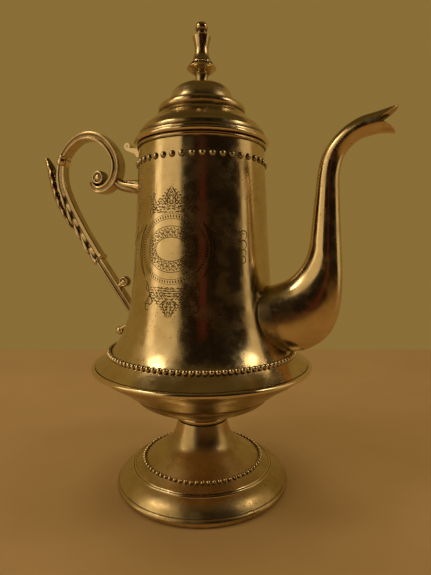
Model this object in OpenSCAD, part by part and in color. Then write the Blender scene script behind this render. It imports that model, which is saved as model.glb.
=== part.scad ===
// Victorian pedestal coffee pot, silver plated, with a hinged domed lid.
// Millimetres. +Z is up, +X points to the spout, the origin is the centre of the foot on the table.

/* [Foot and stem] */
// Radius of the foot over its rolled rim
foot_r = 55.4; // [48:0.2:66]
// Height of the rolled rim that the pot stands on
foot_rim_h = 5.2; // [4:0.1:6.5]
// Distance of the raised ring on the foot's shoulder from the foot's edge
foot_step_in = 10.8; // [8:0.2:14]
// Height of the raised ring above the foot's rolled rim
foot_step_rise = 7.7; // [6:0.1:9.5]
// Distance of the foot's row of beads from the foot's edge
foot_bead_in = 17.8; // [15:0.2:21]
// Diameter of a bead on the foot
foot_bead_d = 2.6; // [2.4:0.1:4.4]
// Gap between the beads on the foot
foot_bead_gap = 0.75; // [0.2:0.05:1.2]
// Radius of the stem at its narrow top
stem_r = 15.9; // [13:0.1:19]
// Height of the stem's top, where the bowl is soldered on
stem_top_z = 40.8; // [34:0.2:49]

/* [Bowl and flange] */
// Height of the collar between the stem and the bowl
collar_h = 4.6; // [3.8:0.1:5.6]
// Radius of the step half way up the bowl
bowl_step_r = 44.6; // [38:0.2:53]
// Height of the step above the collar
bowl_step_rise = 15; // [12.5:0.1:18]
// Radius of the flange over its rolled rim
flange_r = 69.8; // [65:0.2:80]
// Height of the middle of the flange's rolled rim
flange_z = 78.2; // [74:0.2:90]
// Thickness of the flange's rolled rim
flange_wire_d = 3; // [2.4:0.1:3.6]

/* [Body] */
// Outside radius of the body at the mouth
mouth_r = 38.8; // [33:0.2:46]
// Height of the body's mouth
mouth_z = 214.2; // [190:0.2:240]
// How much the body's radius grows for each millimetre down
body_taper = 0.05; // [0.02:0.005:0.08]
// Height over which the skirt's flare falls to about a third
flare_len = 14.8; // [12.5:0.1:17.7]
// Thickness of the sheet metal
wall = 1; // [0.8:0.05:1.3]
// Height of the skirt's row of beads above the edge of the skirt
skirt_bead_rise = 7.3; // [5.6:0.1:9]
// Diameter of a bead on the skirt
skirt_bead_d = 3.4; // [2.4:0.1:4.8]
// Gap between the beads on the skirt
skirt_bead_gap = 0.07; // [0.02:0.01:0.6]
// Distance of the shoulder's row of beads below the mouth
shoulder_bead_drop = 11.6; // [8:0.2:30]
// Diameter of a bead on the shoulder
shoulder_bead_d = 4; // [3:0.1:5.6]
// Gap between the beads on the shoulder
shoulder_bead_gap = 1.6; // [0.2:0.05:2.4]
// Height of the band that stiffens the mouth
band_h = 2.6; // [2:0.1:4]
// How far the mouth band stands out from the body
band_proud = 1.3; // [1:0.1:1.6]

/* [Spout] */
// How far the spout's lips reach from the pot's axis
spout_reach = 113; // [105:0.5:125]
// Height of the spout's upper lip
spout_tip_z = 226.4; // [210:0.5:240]
// Thickness of the spout's wall
spout_wall = 1.2; // [1:0.05:1.5]
// How far the sides of the beak are cut back from its lips
beak_cut = 9; // [6:0.5:11]
// Half the spread of the spout across its foot
spout_foot_w = 18; // [15:0.5:21]
// Diameter of a strainer hole
strainer_d = 3; // [2.4:0.1:3.6]
// Distance between strainer holes
strainer_pitch = 5.2; // [4.6:0.1:6.2]

/* [Handle] */
// Breadth of the upper scroll from side to side
scroll_w = 8.4; // [7:0.1:10]
// Thickness of the upper scroll at its front
scroll_t = 6.3; // [5.2:0.1:7.5]
// Radius of the upper scroll at the binding band, from the volute's eye
scroll_r = 34.5; // [31:0.2:37]
// Breadth of the shaft from side to side
shaft_w = 5.8; // [4.8:0.1:7]
// Thickness of the shaft at its middle
shaft_t = 8.8; // [7.4:0.1:10.4]
// Breadth of the lower bar
bar_w = 5.8; // [4.8:0.1:7]
// Thickness of the lower bar
bar_t = 5.2; // [4.4:0.1:6.2]
// Height above the edge of the skirt at which the lower bar meets the body
bar_foot_rise = 23.9; // [20:0.1:29]

/* [Lid and hinge] */
// How far the lid's rim stands out past the mouth band
lid_overhang = 1.8; // [1.2:0.1:3]
// Thickness of the lid's rim
lid_rim_h = 2.4; // [2:0.1:2.9]
// Radius of the roll below the lid's dome
lid_roll_r = 26.9; // [22.4:0.1:32]
// Radius of the lid's dome
dome_r = 20.6; // [17:0.1:24.8]
// Height of the lid's dome above its roll
dome_h = 12.1; // [9.5:0.1:13.6]
// Depth of the bezel inside the mouth
bezel_h = 4; // [3:0.1:5]
// Distance of the hinge pin from the edge of the lid's rim
hinge_reach = 10.3; // [8.5:0.1:12.4]
// Radius of the hinge pin
pin_r = 1; // [0.8:0.05:1.2]
// Radius of the hinge knuckles
knuckle_r = 2.2; // [2:0.05:2.6]
// Length of the hinge
hinge_len = 10; // [8.6:0.2:12]

/* [Finial] */
// Radius of the finial's disc
finial_disc_r = 9.1; // [6.6:0.1:9.6]
// Height of the finial above the dome
finial_h = 37.4; // [32:0.2:47]
// Radius of the finial's narrow neck
finial_neck_r = 3.9; // [2.9:0.1:4]
// Radius of the screw that holds the finial
screw_r = 1.6; // [1.3:0.05:1.9]

/* [Fits] */
// Gap between the hinge pin and the lid's knuckle
pin_gap = 0.05; // [0.02:0.01:0.1]
// Gap between the knuckles along the pin
knuckle_gap = 0.2; // [0.1:0.05:0.3]
// Gap between the closed lid and the mouth band
lid_gap = 0.2; // [0.1:0.05:0.3]
// Gap between the lid's bezel and the inside of the mouth
bezel_gap = 0.9; // [0.8:0.1:1.4]
// How deep a soldered handle piece sits in the piece it joins
solder = 0.4; // [0.3:0.05:0.6]

/* [Hidden] */

plate = [0.78, 0.66, 0.42];
plate_light = [0.86, 0.75, 0.52];
steel = [0.66, 0.66, 0.64];

round_fn = 128;
bead_fn = 24;
joint_sink = 0.02;

// Places that the other pieces are set from.
foot_step_r = foot_r - foot_step_in;
foot_step_z = foot_rim_h + foot_step_rise;
foot_bead_ring_r = foot_r - foot_bead_in;
bowl_z = stem_top_z + collar_h;
step_z = bowl_z + bowl_step_rise;
flange_wire_r = flange_r - flange_wire_d / 2;
sheet_edge_z = flange_z + flange_wire_d / 2;
lid_z = mouth_z + lid_gap;
rim_top_z = lid_z + lid_rim_h;
roll_z = rim_top_z + 22.8;
dome_top_z = roll_z + dome_h;
disc_z = dome_top_z + 10;
tip_z = dome_top_z + finial_h;
hinge_z = rim_top_z + knuckle_r;
lid_r = mouth_r + band_proud + lid_overhang;
hinge_x = lid_r + hinge_reach;
skirt_bead_z = sheet_edge_z + skirt_bead_rise;
shoulder_bead_z = mouth_z - shoulder_bead_drop;

// ---------- curves ----------

// A point on a smooth curve through b and c, a share t of the way between them.
function curve_point(a, b, c, d, t) =
    0.5 * (2 * b + (c - a) * t + (2 * a - 5 * b + 4 * c - d) * t * t + (3 * b - a - 3 * c + d) * t * t * t);

// A smooth curve through every point of p, with n steps between neighbours.
function curve(p, n) = [
    for (i = [0 : len(p) - 2])
        for (k = [0 : n - 1])
            curve_point(p[max(i - 1, 0)], p[i], p[i + 1], p[min(i + 2, len(p) - 1)], k / n),
    p[len(p) - 1]];

function unit(v) = v / norm(v);
function along(p, i) = unit(p[min(i + 1, len(p) - 1)] - p[max(i - 1, 0)]);
function left_of(t) = [-t.y, t.x];

// The curve p moved a distance d to its left.
function moved(p, d) = [for (i = [0 : len(p) - 1]) p[i] + d * left_of(along(p, i))];
function reversed(p) = [for (i = [len(p) - 1 : -1 : 0]) p[i]];
function mix(a, b, t) = a + (b - a) * t;

// ---------- outlines of the turned pieces, as radius and height ----------

// Body: a slight taper, and a skirt that flares as an exponential.
flare_start = flange_r - 2.6 - mouth_r - body_taper * (mouth_z - sheet_edge_z);
function body_r(z) = mouth_r + body_taper * (mouth_z - z)
    + flare_start * exp(-(z - sheet_edge_z) / flare_len);
function body_slope(z) = body_taper + flare_start / flare_len * exp(-(z - sheet_edge_z) / flare_len);
function body_facing(z) = unit([1, body_slope(z)]);
// How far the body's face rises over its tangent plane at height z, within w of that point.
function body_rise(z, w) = let (f = body_facing(z)) max([0, for (s = [-w, w])
    (body_r(z + s * f.x) - body_r(z)) * f.x + s * f.x * f.y]);
body_outline = [for (i = [0 : 48])
    let (z = sheet_edge_z + (mouth_z - sheet_edge_z) * pow(i / 48, 1.7)) [body_r(z), z]];

foot_outline = curve([
    [foot_r - 1.4, foot_rim_h], [foot_r - 3.8, mix(foot_rim_h, foot_step_z, 0.35)],
    [foot_r - 6.8, mix(foot_rim_h, foot_step_z, 0.66)], [foot_step_r, foot_step_z - 0.3],
    [mix(foot_step_r, stem_r, 0.19), foot_step_z + 2.7], [mix(foot_step_r, stem_r, 0.42), foot_step_z + 6.8],
    [mix(foot_step_r, stem_r, 0.62), foot_step_z + 10.6], [mix(foot_step_r, stem_r, 0.8), foot_step_z + 14.4],
    [mix(foot_step_r, stem_r, 0.92), mix(foot_step_z + 14.4, stem_top_z, 0.4)], [stem_r, stem_top_z]], 4);

bowl_lower = curve([
    [stem_r - 0.4, bowl_z], [stem_r + 7, bowl_z + 2.4], [mix(stem_r, bowl_step_r, 0.55), bowl_z + 5.6],
    [bowl_step_r - 5, bowl_z + 9.4], [bowl_step_r - 1.6, step_z - 2.6], [bowl_step_r - 0.5, step_z]], 4);
bowl_upper = curve([
    [bowl_step_r, step_z], [bowl_step_r + 2.4, step_z + 1.1],
    [mix(bowl_step_r, flange_r, 0.38), mix(step_z, flange_z, 0.37)],
    [mix(bowl_step_r, flange_r, 0.7), mix(step_z, flange_z, 0.66)],
    [flange_r - 2.6, flange_z - 1.2]], 4);
bowl_outline = concat(bowl_lower, bowl_upper);

lid_outline = concat(
    curve([[lid_r - 1, rim_top_z], [lid_r - 1.3, rim_top_z + 1.2], [lid_r - 2.7, rim_top_z + 2.2]], 4),
    curve([[lid_r - 2.8, rim_top_z + 2.3], [lid_r - 3.3, rim_top_z + 4.5], [lid_r - 5, rim_top_z + 6.7]], 4),
    curve([[lid_r - 5.1, rim_top_z + 6.8], [lid_r - 6.7, rim_top_z + 8.6],
        [mix(lid_r - 6.7, lid_roll_r, 0.65), roll_z - 9.9], [lid_roll_r + 0.7, roll_z - 7.5],
        [lid_roll_r - 0.8, roll_z - 6.2]], 4),
    curve([[lid_roll_r - 0.7, roll_z - 6], [lid_roll_r, roll_z - 4.6], [lid_roll_r, roll_z - 3.2],
        [lid_roll_r - 1.1, roll_z - 1.6], [dome_r + 0.7, roll_z]], 4));
dome_outline = concat(curve([
    [dome_r, roll_z + 0.2], [dome_r - 0.6, roll_z + 0.19 * dome_h], [dome_r - 1.4, roll_z + 0.37 * dome_h],
    [dome_r - 2.6, roll_z + 0.58 * dome_h], [dome_r - 4.5, roll_z + 0.77 * dome_h],
    [dome_r * 0.6, roll_z + 0.92 * dome_h], [dome_r * 0.3, dome_top_z]], 4),
    [[screw_r + 0.1, dome_top_z]]);

// The height of an outline at radius r, and the way its surface faces there.
function height_at(outline, r) = lookup(r, outline);
function facing(outline, r) = let (
    a = [r - 0.5, height_at(outline, r - 0.5)], b = [r + 0.5, height_at(outline, r + 0.5)])
    unit([a.y - b.y, 1]);

// Turns an outline into a sheet of metal: thick, with its inner face to the left of the outline.
module sheet(outline, thick) {
    rotate_extrude($fn = round_fn)
        polygon(concat(outline, reversed(moved(outline, thick))));
}

// A ring whose section is a rectangle with one round side.
module rounded_ring(r_in, r_out, z0, z1) {
    bulge = min((z1 - z0) / 2, r_out - r_in);
    rotate_extrude($fn = round_fn)
        polygon(concat([[r_in, z0]],
            [for (a = [-90 : 15 : 90])
                [r_out - bulge + bulge * cos(a), (z0 + z1) / 2 + (z1 - z0) / 2 * sin(a)]],
            [[r_in, z1]]));
}

// A row of beads of diameter d: each is cut flat where it is soldered to the surface at radius r and
// height z, which faces the way out gives, as a radial and an upward part. A bead's middle stands
// proud of the surface by that share of d, and its flat face is cut at the height rise.
module beading(d, gap, r, z, out, proud = 0.16, rise = 0) {
    n = round(2 * PI * r / (d + gap));
    tilt = atan2(out.y, out.x);
    for (i = [0 : n - 1])
        rotate([0, 0, 360 * i / n])
            translate([r, 0, z])
                rotate([0, -tilt, 0])
                    difference() {
                        translate([proud * d, 0, 0]) rotate([0, 90, 0]) sphere(d = d, $fn = bead_fn);
                        translate([-d, -d, -d]) cube([d + joint_sink + rise, 2 * d, 2 * d]);
                    }
}

// ---------- swept pieces ----------

// Side faces of a tube of n rings with m points each, and the caps at its ends.
function side_faces(n, m) = [for (i = [0 : n - 2]) for (j = [0 : m - 1])
    let (k = (j + 1) % m) each [
        [i * m + j, (i + 1) * m + k, (i + 1) * m + j], [i * m + j, i * m + k, (i + 1) * m + k]]];
function end_faces(n, m) = [[for (j = [m - 1 : -1 : 0]) j], [for (j = [0 : m - 1]) (n - 1) * m + j]];

// A section of a scrolled strap, as shares of its thickness and breadth: two raised edges and a
// groove on each side.
strap_section = [[-0.5, -0.38], [-0.4, -0.5], [-0.22, -0.5], [-0.1, -0.42], [0.1, -0.42], [0.22, -0.5],
    [0.4, -0.5], [0.5, -0.38], [0.5, 0.38], [0.4, 0.5], [0.22, 0.5], [0.1, 0.42], [-0.1, 0.42],
    [-0.22, 0.5], [-0.4, 0.5], [-0.5, 0.38]];
// A section with a round back, for the leafy pieces.
oval_section = [for (i = [0 : 15]) [0.5 * cos(22.5 * i), 0.5 * sin(22.5 * i)]];

// Sweeps a section along a path in the XZ plane. Thickness and breadth are lists of values spread
// evenly along the path.
function spread(values, t) = lookup(t * (len(values) - 1), [for (i = [0 : len(values) - 1]) [i, values[i]]]);
module strap(path, section, thick, broad) {
    n = len(path);
    points = [for (i = [0 : n - 1])
        let (t = i / (n - 1), side = left_of(along(path, i)), thick_here = spread(thick, t),
            broad_here = spread(broad, t))
        for (s = section)
            let (q = path[i] + side * s.x * thick_here)
            [q.x, s.y * broad_here, q.y]];
    polyhedron(points, concat(side_faces(n, len(section)), end_faces(n, len(section))), convexity = 8);
}

// Handle: the upper scroll winds from the volute's eye out to the binding band. Its radius and its
// thickness are given every 30 degrees, as shares of their values at the band and at the front.
eye = [-mouth_r - 39.1, mouth_z - 13.4];
first_angle = -150;
angle_step = 30;
scroll_radii = [0.162, 0.205, 0.248, 0.275, 0.32, 0.394, 0.504, 0.617, 0.788, 0.933, 1];
scroll_thicks = [0.5, 0.62, 0.74, 0.84, 0.95, 1, 1, 0.98, 0.93, 0.8, 0.7];
eye_r = scroll_radii[0] * scroll_r - scroll_thicks[0] * scroll_t / 2 + 2 * solder;
radius_points = curve([for (i = [0 : 10]) [angle_step * i, scroll_radii[i] * scroll_r]], 6);
scroll_path = [for (p = radius_points) eye + p.y * [cos(first_angle + p.x), sin(first_angle + p.x)]];

// Places on the handle are given from the eye, as shares of the scroll's radius.
function from_eye(x, z) = eye + scroll_r * [x, z];
band_top = scroll_path[len(scroll_path) - 1];
band_foot = band_top + [-2.7, -6.4];
sleeve_end = from_eye(-0.023, -1.667);
shaft_path = curve([band_foot, band_foot + [-0.7, -7.8], band_foot + [0.3, -15.8], from_eye(-0.843, -0.388),
    from_eye(-0.687, -0.701), from_eye(-0.42, -1.142), from_eye(-0.159, -1.507), sleeve_end], 4);
leaf_out = [-shaft_t / 2, 0];
leaf_path = curve([from_eye(-0.583, -0.98) + leaf_out, from_eye(-0.716, -0.765) + leaf_out,
    from_eye(-0.838, -0.545) + leaf_out, from_eye(-0.942, -0.301) + leaf_out,
    from_eye(-1.029, -0.023) + leaf_out, from_eye(-1.128, 0.249) + leaf_out,
    from_eye(-1.272, 0.499) + leaf_out], 4);

bar_foot_z = sheet_edge_z + bar_foot_rise;
bar_foot = [-body_r(bar_foot_z), bar_foot_z];
bar_run = unit(bar_foot - sleeve_end);
bar_path = curve([sleeve_end - solder * bar_run, mix(sleeve_end, bar_foot, 0.33),
    mix(sleeve_end, bar_foot, 0.66), bar_foot + [-2.2, 3]], 4);
bar_scroll_r = 3.6;
bar_neck = mix(sleeve_end, bar_foot, 0.47);
bar_scroll = bar_neck + (bar_t / 2 + bar_scroll_r + 1) * left_of(bar_run);
pad_r = 7;
pad_t = 2.4;
tail_bud = bar_foot + [-15.2, -9.4];
tail_bud_r = 2.9;
tail_path = curve([bar_foot + [-3.2, 1.8], bar_foot + [-4.4, -2.4], tail_bud + [6, 4],
    tail_bud + [1.6, 1.8]], 4);
arm_z = eye.y - 8.6;
arm_out = unit(scroll_path[27] - eye);
arm_root = scroll_path[27] + (scroll_t / 2 - solder) * arm_out;
arm_path = curve([arm_root, arm_root + [4.6, -2.6], [-body_r(arm_z) - 7, arm_z + 0.6],
    [-body_r(arm_z) + solder, arm_z]], 4);

// ---------- foot, stem and bowl ----------

module foot_shell() {
    color(plate)
        difference() {
            sheet(foot_outline, wall);
            translate([0, 0, foot_rim_h - 4]) cylinder(r = foot_r + 1, h = 4, $fn = round_fn);
        }
}

module foot_rim() {
    color(plate)
        rotate_extrude($fn = round_fn)
            polygon(concat([[foot_r - 6.4, 0]],
                [for (a = [-90 : 15 : 75])
                    [foot_r - 3 + 3 * cos(a), foot_rim_h / 2 + foot_rim_h / 2 * sin(a)]],
                [[foot_r - 2.2, foot_rim_h], [foot_r - 3.2, foot_rim_h], [foot_r - 6.4, foot_rim_h / 2]]));
}

module foot_step_ring() {
    base = [for (i = [-2 : 2]) let (r = foot_step_r + 0.55 * i) [r, height_at(foot_outline, r)]];
    top = [for (a = [30 : 30 : 150]) let (r = foot_step_r + 1.1 * cos(a))
        [r, height_at(foot_outline, r) + 0.9 * sin(a)]];
    color(plate_light) rotate_extrude($fn = round_fn) polygon(concat(base, top));
}

module foot_beading() {
    color(plate_light)
        beading(foot_bead_d, foot_bead_gap, foot_bead_ring_r, height_at(foot_outline, foot_bead_ring_r),
            facing(foot_outline, foot_bead_ring_r));
}

module stem_collar() {
    color(plate)
        difference() {
            rounded_ring(stem_r - 4, stem_r + 0.5, stem_top_z, bowl_z);
            translate([0, 0, stem_top_z - 1]) cylinder(r = stem_r - wall, h = collar_h + 2, $fn = round_fn);
        }
}

module lower_bowl() {
    color(plate)
        rotate_extrude($fn = round_fn)
            polygon(concat([[0, bowl_z]], bowl_outline, reversed(moved(bowl_outline, wall)),
                [[0, bowl_z + wall]]));
}

module flange_rim() {
    color(plate_light)
        rotate_extrude($fn = round_fn)
            translate([flange_wire_r, flange_z]) circle(d = flange_wire_d, $fn = 24);
}

// ---------- body ----------

// The strainer: rows of holes drilled through the wall inside the foot of the spout.
strainer_z = mix(sheet_edge_z, spout_tip_z, 0.213);
module strainer_holes() {
    row = strainer_pitch * sin(60);
    for (j = [-2 : 2])
        for (i = [-2 : 2 - abs(j) % 2])
            translate([mouth_r - 6, (i + (abs(j) % 2) / 2) * strainer_pitch, strainer_z + j * row])
                rotate([0, 90, 0]) cylinder(d = strainer_d, h = 30, $fn = 24);
}

module body_shell() {
    color(plate)
        difference() {
            sheet(body_outline, wall);
            strainer_holes();
        }
}

module skirt_beading() {
    color(plate_light)
        beading(skirt_bead_d, skirt_bead_gap, body_r(skirt_bead_z), skirt_bead_z, body_facing(skirt_bead_z),
            rise = body_rise(skirt_bead_z, skirt_bead_d / 2));
}

module shoulder_beading() {
    color(plate_light)
        beading(shoulder_bead_d, shoulder_bead_gap, body_r(shoulder_bead_z), shoulder_bead_z,
            body_facing(shoulder_bead_z), proud = -0.12,
            rise = body_rise(shoulder_bead_z, shoulder_bead_d / 2));
}

module mouth_band() {
    color(plate_light)
        difference() {
            rounded_ring(mouth_r - 1, mouth_r + band_proud, mouth_z - band_h, mouth_z);
            sheet([for (z = [mouth_z - band_h - 1, mouth_z + 1]) [body_r(z), z]], 4);
        }
}

// ---------- spout ----------

// Pairs of points on the spout's lower and upper edges, from its foot to its lips, as shares of the way
// from the mouth's radius to the spout's reach, and from the skirt's edge up to the spout's tip.
function spout_edge(shares) = curve([for (p = shares)
    [mix(mouth_r, spout_reach, p.x), mix(sheet_edge_z, spout_tip_z, p.y)]], 2);
spout_low = spout_edge([
    [0.252, 0.072], [0.372, 0.083], [0.482, 0.114], [0.561, 0.155], [0.608, 0.204], [0.633, 0.254],
    [0.646, 0.322], [0.646, 0.404], [0.636, 0.493], [0.624, 0.588], [0.615, 0.677], [0.609, 0.752],
    [0.615, 0.79], [0.628, 0.819], [0.652, 0.846], [0.693, 0.87], [0.749, 0.89], [0.819, 0.9],
    [0.898, 0.904], [0.984, 0.899]]);
spout_high = spout_edge([
    [0.073, 0.336], [0.156, 0.35], [0.24, 0.37], [0.302, 0.399], [0.348, 0.431], [0.377, 0.467],
    [0.394, 0.506], [0.403, 0.551], [0.411, 0.595], [0.42, 0.647], [0.43, 0.7], [0.439, 0.753],
    [0.453, 0.8], [0.477, 0.843], [0.518, 0.881], [0.571, 0.913], [0.644, 0.944], [0.744, 0.97],
    [0.871, 0.984], [1, 1]]);
spout_sides = 24;

// Half the spout's width, falling from its foot to the riser and widening a little at the beak.
function spout_half_w(t, inset) = mix(spout_foot_w, 8.6, 1 - pow(1 - min(t / 0.36, 1), 2))
    - 2.6 * min(max((t - 0.36) / 0.3, 0), 1) - inset;

// One ring of the spout. The foot's ring lies on the body, and the last one is cut back as a beak.
function spout_ring(i, n, inset) = let (
    t = i / (n - 1), low = spout_low[i], high = spout_high[i], half = (high - low) / 2,
    mid = (high + low) / 2, keep = 1 - inset / norm(half), w = spout_half_w(t, inset))
    [for (j = [0 : spout_sides - 1]) let (
        a = 360 * j / spout_sides, q = mid + half * keep * cos(a), y = w * sin(a),
        cut = i == n - 1 ? beak_cut * pow(sin(a), 2) : i == n - 2 ? 0.55 * beak_cut * pow(sin(a), 2)
            : i == n - 3 ? 0.2 * beak_cut * pow(sin(a), 2) : 0)
        i == 0 ? [sqrt(pow(body_r(q.y), 2) - y * y) - joint_sink, y, q.y] : [q.x - cut, y, q.y]];

module spout() {
    n = len(spout_low);
    m = spout_sides;
    outer = [for (i = [0 : n - 1]) each spout_ring(i, n, 0)];
    inner = [for (i = [n - 1 : -1 : 0]) each spout_ring(i, n, spout_wall)];
    rings = concat(outer, inner);
    joins = [for (j = [0 : m - 1]) let (k = (j + 1) % m, last = (2 * n - 1) * m) each [
        [last + j, k, j], [last + j, last + k, k]]];
    color(plate) polyhedron(rings, concat(side_faces(2 * n, m), joins), convexity = 10);
}

// ---------- handle ----------

module handle_scroll() {
    color(plate) strap(scroll_path, strap_section, scroll_t * scroll_thicks, [scroll_w]);
}

module handle_eye() {
    color(plate_light)
        translate([eye.x, 0, eye.y]) rotate([90, 0, 0])
            cylinder(r = eye_r, h = scroll_w - 0.6, center = true, $fn = 48);
}

module handle_arm() {
    color(plate) strap(arm_path, oval_section, [7.4, 7, 8.4, 11, 13], [6.4, 6, 6.6, 8.4, 10]);
}

module handle_band() {
    path = [band_top, (band_top + band_foot) / 2, band_foot];
    color(plate_light)
        strap(path, oval_section, [for (k = [3, 3.8, 3.4]) 0.7 * scroll_t + k],
            [for (k = [2.2, 2.8, 2]) scroll_w + k]);
}

module handle_shaft() {
    color(plate)
        strap(shaft_path, strap_section, shaft_t * [0.8, 0.9, 0.98, 1, 1, 0.78],
            shaft_w * [1, 1, 1, 1, 1.16]);
}

module handle_leaf() {
    color(plate_light) strap(leaf_path, oval_section, [2.6, 4.2, 5, 4.8, 3.6, 1.6], [5, 8, 10, 10.4, 8, 2.4]);
}

module handle_lower_bar() {
    color(plate) strap(bar_path, strap_section, bar_t * [1, 0.98, 0.84], [bar_w]);
}

module handle_lower_scroll() {
    color(plate_light) {
        translate([bar_scroll.x, 0, bar_scroll.y]) rotate([90, 0, 0])
            cylinder(r = bar_scroll_r, h = bar_w - 0.4, center = true, $fn = 48);
        strap([bar_neck + (bar_t / 2 - solder) * left_of(bar_run), bar_scroll], oval_section,
            [4.2, 5], [bar_w - 1]);
    }
}

module handle_tail() {
    color(plate_light) {
        strap(tail_path, oval_section, [4.4, 2.6], [bar_w - 0.6, 4.6]);
        translate([tail_bud.x, 0, tail_bud.y]) rotate([90, 0, 0])
            cylinder(r = tail_bud_r, h = 5, center = true, $fn = 48);
    }
}

// A round pad square to the skirt, hollowed to lie on it.
module handle_lower_pad() {
    color(plate)
        difference() {
            translate([bar_foot.x, 0, bar_foot.y])
                rotate([0, atan(body_slope(bar_foot_z)) - 90, 0])
                    rotate_extrude($fn = 64)
                        polygon([[0, -4], [pad_r, -4], [pad_r, pad_t - 0.9], [pad_r - 0.3, pad_t - 0.3],
                            [pad_r - 0.9, pad_t], [0, pad_t]]);
            rotate_extrude($fn = round_fn)
                polygon(concat([[0, sheet_edge_z]], body_outline, [[0, mouth_z]]));
        }
}

// ---------- lid and hinge ----------

module knuckle(y0, y1, bore_r) {
    translate([-hinge_x, y0, hinge_z]) rotate([-90, 0, 0])
        difference() {
            cylinder(r = knuckle_r, h = y1 - y0, $fn = 48);
            translate([0, 0, -1]) cylinder(r = bore_r, h = y1 - y0 + 2, $fn = 48);
        }
}

// The lid's knuckle fills the middle of the hinge, and the body's two are at its ends.
inner_half = hinge_len * 0.22;
outer_start = inner_half + knuckle_gap;

// Each arm runs level from its knuckle, then drops past the lid's rim to the mouth band.
module hinge_body_leaf() {
    root_r = mouth_r + band_proud;
    root_z0 = mouth_z - band_h + 0.3;
    root_z1 = mouth_z - 0.4;
    arm_w = hinge_len / 2 - outer_start;
    clear_x = -lid_r - 0.7;
    arm = [[-hinge_x - 1, hinge_z - 1.4], [-hinge_x - 0.8, hinge_z - knuckle_r - 0.3],
        [clear_x - 3.6, mouth_z - 0.6], [clear_x - 2.2, root_z0 - 0.6], [-root_r + 1.5, root_z0],
        [-root_r + 1.5, root_z1], [clear_x + 0.2, root_z1], [clear_x, rim_top_z - 0.2],
        [-hinge_x + 1.6, hinge_z - 1.2]];
    color(plate_light)
        difference() {
            union() {
                for (y0 = [-hinge_len / 2, outer_start]) {
                    knuckle(y0, y0 + arm_w, pin_r);
                    translate([0, y0 + arm_w, 0]) rotate([90, 0, 0]) linear_extrude(arm_w) polygon(arm);
                }
                translate([-root_r - 2, -hinge_len / 2, root_z0]) cube([3, hinge_len, root_z1 - root_z0]);
            }
            translate([-hinge_x, -hinge_len, hinge_z]) rotate([-90, 0, 0])
                cylinder(r = pin_r, h = 2 * hinge_len, $fn = 48);
            translate([0, 0, root_z0 - 1]) cylinder(r = root_r - joint_sink, h = band_h + 2, $fn = round_fn);
        }
}

module hinge_pin() {
    color(steel)
        translate([-hinge_x, 0, hinge_z]) rotate([90, 0, 0])
            cylinder(r = pin_r, h = hinge_len, center = true, $fn = 48);
}

module hinge_lid_leaf() {
    leaf_w = 2 * inner_half;
    color(plate_light)
        difference() {
            union() {
                translate([-hinge_x, -inner_half, hinge_z]) rotate([-90, 0, 0])
                    cylinder(r = knuckle_r, h = leaf_w, $fn = 48);
                hull() {
                    translate([-hinge_x, -inner_half, hinge_z - knuckle_r]) cube([0.6, leaf_w, 1.8]);
                    translate([-lid_r - 0.4, -inner_half, lid_z + 0.4])
                        cube([1.2, leaf_w, lid_rim_h - 0.6]);
                }
            }
            translate([-hinge_x, -hinge_len, hinge_z]) rotate([-90, 0, 0])
                cylinder(r = pin_r + pin_gap, h = 2 * hinge_len, $fn = 48);
            translate([0, 0, lid_z - 1]) cylinder(r = lid_r - joint_sink, h = lid_rim_h + 4, $fn = round_fn);
        }
}

module lid_shell() {
    color(plate) {
        rotate_extrude($fn = round_fn)
            polygon(concat(lid_outline, dome_outline, reversed(moved(dome_outline, wall)),
                [[dome_r - wall, roll_z - 3], [lid_roll_r - 2.6, roll_z - 6.4], [lid_r - 9, rim_top_z + 6.4],
                    [lid_r - 4.6, rim_top_z + 2], [lid_r - 4.6, rim_top_z]]));
    }
}

module lid_rim() {
    color(plate_light) rounded_ring(mouth_r - 3, lid_r, lid_z, rim_top_z);
}

module lid_bezel() {
    r = mouth_r - wall - bezel_gap;
    color(plate)
        rotate_extrude($fn = round_fn)
            translate([r - wall, lid_z - bezel_h]) square([wall, bezel_h]);
}

// ---------- finial ----------

finial_disc_t = 1.9;
finial_bead_r = finial_disc_r - 2.2;
finial_bead_d = 1.4;

module finial_base() {
    outline = concat(curve([[5.4, dome_top_z], [4.9, dome_top_z + 0.9], [finial_neck_r, dome_top_z + 2.6],
        [finial_neck_r + 0.4, dome_top_z + 6.4], [finial_disc_r - 2, disc_z - 1.6],
        [finial_disc_r, disc_z], [finial_disc_r - 0.8, disc_z + 1.3]], 4),
        [[finial_bead_r - 0.2, disc_z + finial_disc_t]]);
    color(plate)
        difference() {
            rotate_extrude($fn = 64) polygon(concat([[0, dome_top_z]], outline,
                [[0, disc_z + finial_disc_t]]));
            translate([0, 0, dome_top_z - 1]) cylinder(r = screw_r, h = 8, $fn = 48);
        }
}

module finial_beading() {
    n = floor(2 * PI * finial_bead_r / (finial_bead_d + 0.1));
    color(plate_light)
        for (i = [0 : n - 1])
            rotate([0, 0, 360 * i / n])
                translate([finial_bead_r, 0, disc_z + finial_disc_t + 0.6])
                    difference() {
                        sphere(d = finial_bead_d, $fn = bead_fn);
                        translate([-1, -1, -1.6]) cube([2, 2, 1]);
                        translate([-1.3, -1, -1]) cube([1, 2, 2]);
                    }
}

module finial_column() {
    z0 = disc_z + finial_disc_t;
    foot = finial_bead_r - 0.4;
    lip_z = tip_z - 8.8;
    outline = curve([[foot, z0], [foot - 0.1, z0 + 1.8], [5.2, z0 + 4.4], [4.5, mix(z0, lip_z, 0.42)],
        [4.3, mix(z0, lip_z, 0.62)], [4.7, lip_z - 4], [5.7, lip_z]], 4);
    color(plate)
        rotate_extrude($fn = 64)
            polygon(concat([[0, z0]], outline, [[4.7, lip_z], [3.1, lip_z - 0.8], [0, lip_z - 0.8]]));
}

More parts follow.
